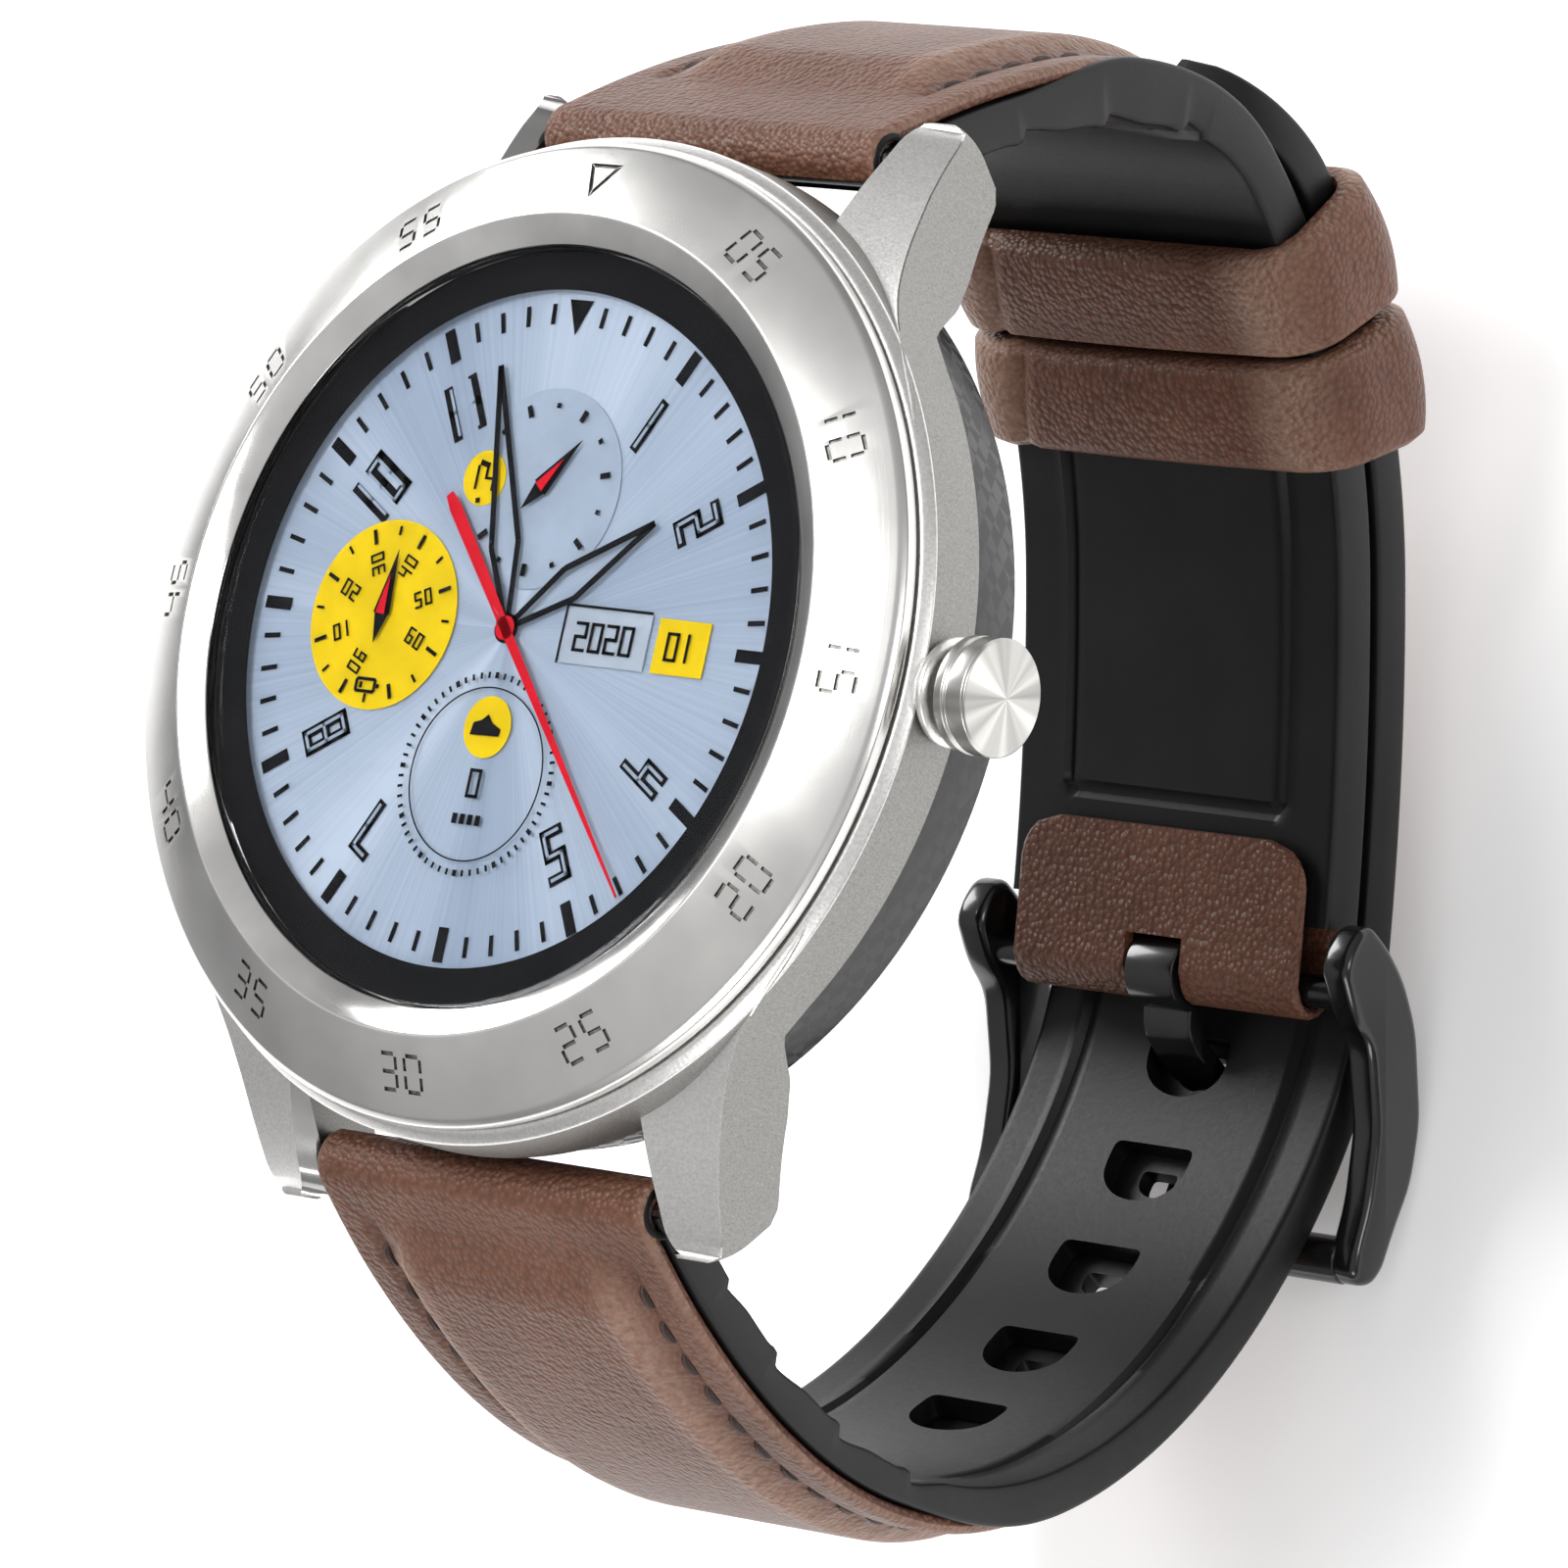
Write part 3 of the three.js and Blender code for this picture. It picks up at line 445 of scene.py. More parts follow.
# %% Thread
def thread():
    material, shader = finish("waxed_thread", (0.035, 0.014, 0.009), 0.6)
    twist = node(material, "TexWave", [("Vector", places(material))], Scale=1500.0, Distortion=2.0)
    tint(material, shader, ramp(
        material, twist.outputs["Fac"], [(0.2, (0.02, 0.008, 0.005)), (0.8, (0.055, 0.024, 0.015))]))
    bump(material, shader, twist.outputs["Fac"], 0.00005, 0.6)
    return material


THREAD = thread()
print("made", THREAD.name)

# %% [markdown]
# The strap's rubber is matte, with a faint grain that the mould leaves. Plain black would swallow
# its shape, so the roughness wanders a little and the edges still catch light.

# %% Strap rubber
def strap_rubber():
    material, shader = finish("strap_rubber", (0.006, 0.006, 0.0062), 0.5)
    shader.inputs["Specular IOR Level"].default_value = 0.3
    grain = noise(material, 3500, 3)
    tint(material, shader, ramp(
        material, noise(material, 200, 3), [(0.3, (0.004, 0.004, 0.0041)), (0.7, (0.008, 0.008, 0.0082))]))
    spread(material, shader, grain, 0.36, 0.5)
    bump(material, shader, grain, 0.00002, 0.35)
    return material


RUBBER = strap_rubber()
print("made", RUBBER.name)

# %% [markdown]
# The buckle is cast metal, plated gloss black. It could be a black metal shader, but plating looks
# more like a clear coat over a dark ground, so that is what it gets.

# %% Gloss black metal
def black_metal():
    material, shader = finish("gloss_black_metal", (0.004, 0.004, 0.004), 0.2)
    shader.inputs["Coat Weight"].default_value = 0.3
    shader.inputs["Coat Roughness"].default_value = 0.08
    haze = noise(material, 500, 3)
    tint(material, shader, ramp(
        material, haze, [(0.3, (0.003, 0.003, 0.003)), (0.7, (0.007, 0.007, 0.007))]))
    spread(material, shader, haze, 0.14, 0.3)
    return material


BLACK_METAL = black_metal()
print("made", BLACK_METAL.name)

# %% [markdown]
# The case back is a composite whose weave shows as small tiles. The tiles run round the axis, so
# the pattern is laid out on angle and height, then turned by 45 degrees for the twill.

# %% Woven fibre
def woven_fibre():
    material, shader = finish("woven_fibre", (0.02, 0.02, 0.021), 0.38)
    radius, angle = polar(material, "Z")
    height = node(material, "SeparateXYZ", [("Vector", places(material))]).outputs["Z"]
    around = node(material, "Math", [(0, angle)], operation="MULTIPLY")
    around.inputs[1].default_value = 0.0237
    spot = node(material, "CombineXYZ", [("X", around.outputs[0]), ("Y", height), ("Z", radius)])
    tilted = node(material, "Mapping", [("Vector", spot.outputs[0])])
    tilted.inputs["Rotation"].default_value = (0.0, 0.6, math.radians(45))
    tiles = node(material, "TexChecker", [("Vector", tilted.outputs[0])], Scale=1150.0).outputs["Fac"]
    tint(material, shader, ramp(
        material, tiles, [(0.0, (0.006, 0.006, 0.006)), (1.0, (0.022, 0.022, 0.023))]))
    spread(material, shader, tiles, 0.3, 0.5)
    bump(material, shader, tiles, 0.00006, 0.5)
    return material


FIBRE = woven_fibre()
print("nodes in the weave:", len(FIBRE.node_tree.nodes))

# %% [markdown]
# The parts that hardly show are moulded or plated. One function with two colours is enough for all
# of them.

# %% Small parts
def moulded(name, dark, light, roughness):
    """A moulded or plated finish for small pieces, with a fine grain between two colours."""
    material, shader = finish(name, light, roughness)
    grain = noise(material, 2400, 3)
    tint(material, shader, ramp(material, grain, [(0.3, dark), (0.7, light)]))
    bump(material, shader, grain, 0.00002, 0.3)
    return material


SEAL = moulded("seal_rubber", (0.012, 0.012, 0.012), (0.03, 0.03, 0.03), 0.7)
PLASTIC = moulded("inner_plastic", (0.03, 0.03, 0.033), (0.06, 0.06, 0.065), 0.5)
BOARD = moulded("circuit_board", (0.01, 0.08, 0.03), (0.02, 0.16, 0.06), 0.4)
GOLD = moulded("gold_plate", (0.7, 0.48, 0.16), (0.85, 0.62, 0.24), 0.25)
GOLD.node_tree.nodes["Principled BSDF"].inputs["Metallic"].default_value = 1.0
print("made", [made.name for made in (SEAL, PLASTIC, BOARD, GOLD)])

# %% [markdown]
# The cover glass is clear, with a faint mottle in its polish. A true glass index would throw too
# much of the sky over the dial. Real cover glass is coated against that, and a low index does the
# same. The sensor's glass is smoked.

# %% Glass
def clear_glass():
    material, shader = finish("clear_glass", (0.97, 0.985, 1.0), 0.02)
    shader.inputs["Transmission Weight"].default_value = 1.0
    shader.inputs["IOR"].default_value = 1.12
    spread(material, shader, noise(material, 90, 2), 0.0, 0.02)
    return material


def dark_glass():
    material, shader = finish("dark_glass", (0.012, 0.012, 0.014), 0.06)
    shader.inputs["Coat Weight"].default_value = 0.6
    tint(material, shader, ramp(
        material, noise(material, 120, 2), [(0.3, (0.008, 0.008, 0.01)), (0.7, (0.02, 0.02, 0.024))]))
    return material


CLEAR_GLASS, DARK_GLASS = clear_glass(), dark_glass()
print("made", CLEAR_GLASS.name, DARK_GLASS.name)

# %% [markdown]
# The dial is a lit display. A picture on a screen could show it, but inks on thin layers stay
# sharp from any distance. They glow a little by themselves. The ground is brushed in rays, from a
# broad and a fine noise of the angle.

# %% Dial colours
def ink(name, colour, glow=0.5, wander=0.12):
    """A printed or lit colour, with a slight cloud in it."""
    material, shader = finish(name, colour, 0.4, Specular_IOR_Level=0.08)
    dark = tuple(c * (1 - wander) for c in colour)
    shade = ramp(material, noise(material, 400, 3), [(0.35, dark), (0.65, colour)])
    tint(material, shader, shade)
    material.node_tree.links.new(shade, shader.inputs["Emission Color"])
    shader.inputs["Emission Strength"].default_value = glow
    return material


def sunray_dial():
    """Silver blue, brushed outward from the middle, with broad light and dark rays."""
    material, shader = finish("sunray_dial", (0.42, 0.5, 0.62), 0.4, Specular_IOR_Level=0.1)
    _, angle = polar(material, "Z")
    turn = node(material, "CombineXYZ", [("X", angle)]).outputs[0]
    broad = noise(material, 1.1, 2, turn)
    fine = noise(material, 55, 3, turn)
    both = node(material, "Math", [(0, fine)], operation="MULTIPLY_ADD")
    both.inputs[1].default_value = 0.25
    material.node_tree.links.new(broad, both.inputs[2])
    shade = ramp(material, both.outputs[0], [(0.45, (0.2, 0.25, 0.33)), (0.8, (0.4, 0.46, 0.55))])
    tint(material, shader, shade)
    material.node_tree.links.new(shade, shader.inputs["Emission Color"])
    shader.inputs["Emission Strength"].default_value = 0.2
    return material


DIAL = sunray_dial()
BLACK_INK = ink("black_ink", (0.004, 0.004, 0.006), 0.0)
BORDER_INK = ink("border_ink", (0.003, 0.003, 0.004), 0.0)
PALE_INK = ink("pale_ink", (0.3, 0.36, 0.45), 0.1)
YELLOW_INK = ink("yellow_ink", (0.75, 0.52, 0.003), 0.1)
RED_INK = ink("red_ink", (0.58, 0.004, 0.015), 0.12)
print("made", [made.name for made in (BLACK_INK, BORDER_INK, PALE_INK, YELLOW_INK, RED_INK)])

# %% [markdown]
# Meshes are made from lists of points in millimetres. Primitives could be scaled and joined, but
# points from named sizes are exact. Edges that turn sharply are marked, so that smooth shading
# stops there.

# %% From points to a mesh
SHARP = 32


def mesh_piece(name, points, faces, material, sharp=SHARP):
    """A mesh from points in millimetres, shaded smooth except over sharp edges."""
    mesh = bpy.data.meshes.new(name)
    mesh.from_pydata([Vector(p) * MM for p in points], [], faces)
    mesh.validate()
    mesh.materials.append(material)
    obj = bpy.data.objects.new(name, mesh)
    bpy.context.scene.collection.objects.link(obj)
    shade(obj, sharp)
    return obj


def shade(obj, sharp=SHARP):
    work = bmesh.new()
    work.from_mesh(obj.data)
    bmesh.ops.recalc_face_normals(work, faces=work.faces)
    limit = math.radians(sharp)
    for face in work.faces:
        face.smooth = True
    for edge in work.edges:
        edge.smooth = len(edge.link_faces) == 2 and edge.calc_face_angle() < limit
    work.to_mesh(obj.data)
    work.free()


print("edges stay sharp from", SHARP, "degrees")

# %% [markdown]
# A real edge always has a small radius, which is what catches the light. A bevel modifier could
# add it to every edge, but rounding an outline before it is turned or drawn out costs fewer faces
# and can't go wrong on thin parts.

# %% Rounded and turned shapes
def rounded(outline, radius, steps=4):
    """A closed outline of 2D points with each corner turned into a short curve."""
    result = []
    count = len(outline)
    for i in range(count):
        corner = Vector(outline[i])
        before, after = Vector(outline[i - 1]) - corner, Vector(outline[(i + 1) % count]) - corner
        reach = min(radius, before.length * 0.45, after.length * 0.45)
        start, end = corner + before.normalized() * reach, corner + after.normalized() * reach
        for k in range(steps + 1):
            t = k / steps
            result.append(tuple(start * (1 - t) ** 2 + corner * 2 * t * (1 - t) + end * t * t))
    return result


def turned(name, profile, material, steps=256, axis="Z", centre_z=0.0, sharp=SHARP):
    """Turns a closed profile of (radius, height) points, in millimetres, round an axis."""
    points, faces = [], []
    count = len(profile)
    for i in range(steps):
        a = 2 * math.pi * i / steps
        for r, h in profile:
            if axis == "Z":
                points.append((r * math.cos(a), r * math.sin(a), h))
            else:
                points.append((h, r * math.cos(a), r * math.sin(a) + centre_z))
    for i in range(steps):
        for j in range(count):
            k = (j + 1) % count
            n = (i + 1) % steps
            faces.append((i * count + j, n * count + j, n * count + k, i * count + k))
    obj = mesh_piece(name, points, faces, material, sharp)
    weld(obj, sharp)
    return obj


def weld(obj, sharp=SHARP):
    """Joins points that lie on each other, such as those on a turning axis."""
    work = bmesh.new()
    work.from_mesh(obj.data)
    bmesh.ops.remove_doubles(work, verts=work.verts, dist=1e-7)
    work.to_mesh(obj.data)
    work.free()
    shade(obj, sharp)


print("points of a rounded square:", len(rounded([(0, 0), (1, 0), (1, 1), (0, 1)], 0.2)))

# %% [markdown]
# Some shapes are quickest to cut from each other. The manifold solver does it fast, also where a
# tool overlaps itself. The other helpers list the faces of a prism and of a loft, store wear and
# painted highlight, and place a piece on its body.

# %% Cut, join and place
def apply_modifiers(obj, sharp=SHARP):
    """Bakes the modifiers into the mesh, for pieces that need their final points."""
    graph = bpy.context.evaluated_depsgraph_get()
    made = bpy.data.meshes.new_from_object(obj.evaluated_get(graph))
    obj.modifiers.clear()
    obj.data = made
    shade(obj, sharp)


def cut(obj, tool, operation="DIFFERENCE", sharp=SHARP):
    """Joins a tool to a piece, or cuts the piece with it, and removes the tool."""
    step = obj.modifiers.new("cut", "BOOLEAN")
    step.operation = operation
    step.solver = "MANIFOLD"
    step.object = tool
    bpy.context.view_layer.update()
    apply_modifiers(obj, sharp)
    bpy.data.objects.remove(tool)


def prism_faces(count):
    """Faces of a prism whose two ends have this many points each."""
    ends = [tuple(range(count)), tuple(range(count, 2 * count))]
    return ends + [(i, (i + 1) % count, count + (i + 1) % count, count + i) for i in range(count)]


def loft_faces(rings, count):
    """Faces of a body that is given as rings of points, closed at both ends."""
    sides = [(i * count + j, i * count + k, (i + 1) * count + k, (i + 1) * count + j)
             for i in range(rings - 1) for j, k in ((j, (j + 1) % count) for j in range(count))]
    last = (rings - 1) * count
    return sides + [tuple(range(count)), tuple(last + j for j in range(count))]


def set_wear(obj, worn):
    """Writes how worn each point is, with painted highlight added, for the leather to read."""
    attribute = obj.data.attributes.new("wear_and_highlight", "FLOAT", "POINT")
    attribute.data.foreach_set("value", worn)


def place_on(obj, body, slot, *nodes):
    """The piece rides on a body and stands for CAD nodes. The slot is not used."""
    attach(obj, body)
    if nodes:
        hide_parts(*nodes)
    return obj


print("faces of a prism with six sides:", len(prism_faces(6)))

# %% [markdown]
# The numbers are plain figures, made of straight strokes on a cell of seven places with gaps
# between them, like a stencil. Text objects could write them, but they bring a font's own shapes
# and heavy meshes. Strokes serve the engraving and the dial alike.

# %% Digits made of strokes
STROKES = {
    "A": ((-0.5, 1), (0.5, 1)), "B": ((0.5, 1), (0.5, 0)), "C": ((0.5, 0), (0.5, -1)),
    "D": ((-0.5, -1), (0.5, -1)), "E": ((-0.5, -1), (-0.5, 0)), "F": ((-0.5, 0), (-0.5, 1)),
    "G": ((-0.5, 0), (0.5, 0)), "H": ((0, 1), (0, 0)), "I": ((0, 0), (0, -1)),
}
DIGITS = {
    "0": "ABCDEF", "1": "HI", "2": "ABGED", "3": "ABGCD", "4": "FGBC", "5": "AFGCD",
    "6": "AFGECD", "7": "ABC", "8": "ABCDEFG", "9": "ABCDFG",
}


def number_strokes(text, centre, height, width, thick, angle, ends, gap=0.2):
    """Four-cornered strokes for a number. Ends is what each stroke gains, or loses if negative."""
    pitch = width + thick + gap
    quads = []
    for i, digit in enumerate(text):
        shift = (i - (len(text) - 1) / 2) * pitch
        for letter in DIGITS[digit]:
            a, b = (Vector((x * width + shift, y * height / 2)) for x, y in STROKES[letter])
            along = (b - a).normalized()
            side = Vector((-along.y, along.x)) * thick / 2
            a, b = a - along * ends, b + along * ends
            quads.append([a - side, b - side, b + side, a + side])
    facing = Matrix.Rotation(angle, 2)
    return [[facing @ p + Vector(centre) for p in quad] for quad in quads]


def clock_place(minute, radius):
    a = math.radians(90 - 6 * minute)
    return (radius * math.cos(a), radius * math.sin(a))


print("strokes in 25:", len(number_strokes("25", (0, 0), 1.6, 1.0, 0.19, 0, 0)))

# %% [markdown]
# The bezel is a steel ring with a wide sloping face, a narrow chamfer down to the glass and a step
# under the rim. Its outline is turned round the axis, as on a lathe.

# %% The bezel's ring
BEZEL_RADIUS, CREST_RADIUS, CREST_Z, RIM_Z = 24.0, 20.0, 11.3, 9.55
GLASS_RADIUS, GLASS_TOP_Z, GLASS_BOTTOM_Z = 18.4, 10.8, 10.0
BEZEL_BOTTOM_Z, SPIGOT_BOTTOM_Z, SPIGOT_RADIUS = 8.6, 7.2, 21.8
bezel_profile = rounded([
    (17.5, SPIGOT_BOTTOM_Z), (SPIGOT_RADIUS, SPIGOT_BOTTOM_Z), (SPIGOT_RADIUS, BEZEL_BOTTOM_Z),
    (BEZEL_RADIUS, BEZEL_BOTTOM_Z), (BEZEL_RADIUS, RIM_Z - 0.35), (BEZEL_RADIUS - 0.3, RIM_Z),
    (CREST_RADIUS, CREST_Z), (GLASS_RADIUS + 0.15, GLASS_TOP_Z - 0.1),
    (GLASS_RADIUS + 0.15, GLASS_BOTTOM_Z - 0.3), (17.5, GLASS_BOTTOM_Z - 0.3)], 0.12, 3)
bezel = turned("bezel_ring", bezel_profile, TURNED)


def cone_z(x, y):
    """Height of the bezel's sloping face."""
    slope = (CREST_Z - RIM_Z) / (BEZEL_RADIUS - 0.3 - CREST_RADIUS)
    return CREST_Z - (math.hypot(x, y) - CREST_RADIUS) * slope


print("slope height at its middle:", round(cone_z(22, 0), 2))

# %% [markdown]
# A minute scale is cut into the slope: a number at every five minutes and a triangle at twelve.
# The triangle is three strips with mitred corners, because strips that overlap make a poor cutter.

# %% Outlines of the engraving
ENGRAVED_RADIUS, ENGRAVED_HEIGHT, ENGRAVED_DEPTH = 21.75, 1.6, 0.14
engraved = []
for minute in range(5, 60, 5):
    outward = minute in (45, 50, 55, 5, 10, 15)
    facing = math.radians(-6 * minute) + (0 if outward else math.pi)
    engraved += number_strokes(f"{minute:02d}", clock_place(minute, ENGRAVED_RADIUS),
                               ENGRAVED_HEIGHT, 1.0, 0.19, facing, -0.11, 0.4)
outer_corners = [Vector((-1.05, 22.75)), Vector((1.05, 22.75)), Vector((0, 20.85))]
middle = sum(outer_corners, Vector((0, 0))) / 3
inner_corners = [middle + (corner - middle) * 0.62 for corner in outer_corners]
for i in range(3):
    k = (i + 1) % 3
    quad = [outer_corners[i], outer_corners[k], inner_corners[k], inner_corners[i]]
    centre = sum(quad, Vector((0, 0))) / 4
    engraved.append([centre + (corner - centre) * 0.97 for corner in quad])


print("strokes:", len(engraved))

# %% [markdown]
# Numbers could be printed on, but the real ones are cut in, and catch light in their walls. Each
# stroke becomes a small block that follows the slope, and all blocks are cut away at once. The
# floor of each groove then gets the dull steel, whose dark colour is painted shade.

# %% Cut the engraving
wedge_points, wedge_faces = [], []
for quad in engraved:
    start = len(wedge_points)
    wedge_points += [(p.x, p.y, cone_z(p.x, p.y) - ENGRAVED_DEPTH) for p in quad]
    wedge_points += [(p.x, p.y, cone_z(p.x, p.y) + 0.5) for p in quad]
    wedge_faces += [tuple(start + k for k in face) for face in (
        (0, 3, 2, 1), (4, 5, 6, 7), (0, 1, 5, 4), (1, 2, 6, 5), (2, 3, 7, 6), (3, 0, 4, 7))]
wedges = mesh_piece("wedges", wedge_points, wedge_faces, TURNED)
cut(bezel, wedges, sharp=20)
bezel.data.materials.append(POLISHED)
bezel.data.materials.append(GROOVE_PAINTED_SHADE)
# Groove faces get the dark steel, painted shade; the chamfer inside the crest is polished.
for face in bezel.data.polygons:
    x, y, z = face.center / MM
    if z < cone_z(x, y) - 0.02 and CREST_RADIUS + 0.2 < math.hypot(x, y) < 23.3 and z > 9.6:
        face.material_index = 2
    elif math.hypot(x, y) < CREST_RADIUS - 0.05 and z > GLASS_BOTTOM_Z:
        face.material_index = 1
place_on(bezel, "case", "polished_steel", "bezel")
print("bezel faces:", len(bezel.data.polygons))

# %% [markdown]
# The mid case is one piece of steel, with four lugs that bend down to the strap. A lug could be a
# bent box, but its top, side and bevel all change along it. So its sizes are given by three
# curves: the top, the underside and the outer face, each by its distance from the case's middle.

# %% Curves of a lug
CASE_RADIUS, CASE_BOTTOM_Z, CASE_TOP_Z = 24.6, 4.7, 8.4
LUG_INNER_X = 11.1
LUG_TOP = [(10, 8.35), (14, 8.2), (16.5, 7.9), (18.5, 7.35), (20.5, 6.6), (22.5, 5.7), (24.5, 4.6),
           (26.2, 3.5), (27.6, 2.45)]
LUG_BOTTOM = [(10, 4.7), (16.9, 4.7), (18.6, 2.4), (20.2, 1.3), (22, 0.5), (24.3, -0.6), (25.2, -0.5),
              (27.0, 1.1), (27.6, 1.75)]
LUG_OUTER = [(10, 21.8), (13, 20.8), (15.4, 19.2), (17.4, 17.7), (19.5, 16.6), (22.5, 15.7),
             (25, 15.2), (27.6, 14.8)]


def smooth(t):
    t = max(0.0, min(1.0, t))
    return t * t * (3 - 2 * t)


def along_points(points, y):
    """Straight lines between points."""
    for (y0, v0), (y1, v1) in zip(points, points[1:]):
        if y <= y1:
            return v0 + (v1 - v0) * (y - y0) / (y1 - y0)
    return points[-1][1]


def soft_points(points, y, reach=1.2):
    """The same, with the corners averaged away."""
    offsets = [-1, -0.5, 0, 0.5, 1]
    low, high = points[0][0], points[-1][0]
    reach = min(reach, y - low, high - y)
    return sum(along_points(points, y + k * reach) for k in offsets) / len(offsets)


print("lug height at the bar:", round(soft_points(LUG_TOP, 25.6) - along_points(LUG_BOTTOM, 25.6), 2))

# %% [markdown]
# A lug is lofted: its section is placed at many stations from the case to the tip, and neighbours
# are joined. At the tip it is drawn in along a quarter circle, so that it ends softly.

# %% One lug
TIP_START, TIP_REACH, BEVEL, EDGE = 26.2, 1.43, 1.1, 0.06


def lug(sx, sy):
    """One lug. The signs say which corner of the case it stands on."""
    stations = [10 + 16 * i / 40 for i in range(41)] + [26 + 1.6 * i / 10 for i in range(1, 11)]
    points = []
    for y in stations:
        top, outer = soft_points(LUG_TOP, y), soft_points(LUG_OUTER, y)
        low = along_points(LUG_BOTTOM, y)
        bevel = BEVEL * max(0.0, min(1.0, (y - 18.2) / 7.5))
        tip = 1.0 - math.sqrt(1 - min(0.96, max(0.0, (y - TIP_START) / TIP_REACH) ** 2))
        inner, outer = LUG_INNER_X + tip, outer - 1.1 * tip
        top -= 0.45 * tip
        low = min(low + 0.2 * tip, top - 0.3)
        fall = 0.8 * smooth((y - 14) / 9)
        ring = [(inner, low), (inner, max(low + 0.05, top - EDGE - bevel)),
                (inner + EDGE + bevel * 0.75, top), (outer - EDGE, max(low + 0.22, top - fall)),
                (outer, max(low + 0.16, top - EDGE - fall)), (outer, low + EDGE), (outer - EDGE, low)]
        points += [(sx * x, sy * y, z) for x, z in ring]
    return mesh_piece("lug", points, loft_faces(len(stations), 7), STEEL_PAINTED_SHADE, 20)


print("lugs end at y =", LUG_TOP[-1][0])

# %% [markdown]
# The ring is turned, the four lugs are joined to it, and then one turned tool hollows out the
# inside, also where lugs reach in. Faces that look up get the light copy of the steel, which is
# painted light, the sides keep the dark copy, which is painted shade, and the inner bevels of the
# lugs are polished.

# %% The case with its lugs
CASE_WALL, CASE_BORE, LEDGE_Z, SHOULDER = 20.4, 22, 7.0, 0.5
case_profile = rounded([
    (CASE_WALL, CASE_BOTTOM_Z), (CASE_RADIUS, CASE_BOTTOM_Z), (CASE_RADIUS, CASE_TOP_Z - SHOULDER),
    (CASE_RADIUS - SHOULDER, CASE_TOP_Z), (CASE_BORE, CASE_TOP_Z), (CASE_BORE, LEDGE_Z),
    (CASE_WALL, LEDGE_Z)], 0.15, 3)
case_ring = turned("case_ring", case_profile, STEEL_PAINTED_SHADE)
for sx in (1, -1):
    for sy in (1, -1):
        cut(case_ring, lug(sx, sy), "UNION", 20)
hollow = turned("hollow", [
    (0, -3), (23.1, -3), (23.1, 0), (23.75, 0.6), (24.65, 4.4), (24.65, CASE_BOTTOM_Z),
    (CASE_WALL, CASE_BOTTOM_Z), (CASE_WALL, LEDGE_Z), (CASE_BORE, LEDGE_Z), (CASE_BORE, 9), (0, 9)],
    STEEL_PAINTED_SHADE)
cut(case_ring, hollow, sharp=20)
case_ring.data.materials.append(STEEL_PAINTED_LIGHT)
case_ring.data.materials.append(POLISHED)
# Up-facing faces take the light copy, painted light; the rest keep the dark copy, painted shade.
for face in case_ring.data.polygons:
    if face.normal.z > 0.3:
        inward = -face.normal.x * math.copysign(1, face.center.x)
        on_lug = face.center.xy.length > (CASE_RADIUS + 0.05) * MM
        face.material_index = 2 if on_lug and inward > 0.3 else 0 if on_lug and inward < -0.5 else 1
place_on(case_ring, "case", "blasted_steel", "mid_case")
print("case faces:", len(case_ring.data.polygons))

# %% [markdown]
# The glass is a flat disc with a softened rim. Under its edge a black ring is printed, which hides
# where the display ends. It is a thin ring of its own, so its edge stays clean.

# %% Glass and printed border
DISPLAY_RADIUS = 16.5
glass = turned("cover_glass", rounded([
    (0, GLASS_BOTTOM_Z), (GLASS_RADIUS, GLASS_BOTTOM_Z), (GLASS_RADIUS, GLASS_TOP_Z), (0, GLASS_TOP_Z)],
    0.12, 3), CLEAR_GLASS, 160)
place_on(glass, "case", "cover_glass", "glass")
BORDER_LOW, BORDER_HIGH = 9.94, 9.98
border = turned("printed_border", [
    (DISPLAY_RADIUS, BORDER_LOW), (GLASS_RADIUS, BORDER_LOW), (GLASS_RADIUS, BORDER_HIGH),
    (DISPLAY_RADIUS, BORDER_HIGH)], BORDER_INK, 160)
place_on(border, "case", "cover_glass")
print("glass faces:", len(glass.data.polygons))

# %% [markdown]
# The dial is a picture on a display. Here it is built as thin layers, each a few hundredths of a
# millimetre above the last, so that it stays sharp from any distance. One helper class collects
# the outlines of a layer and makes them one piece.

# %% Flat layers of the dial
BASE_Z, LAYER_STEP, LAYER_THICK = 9.5, 0.05, 0.03


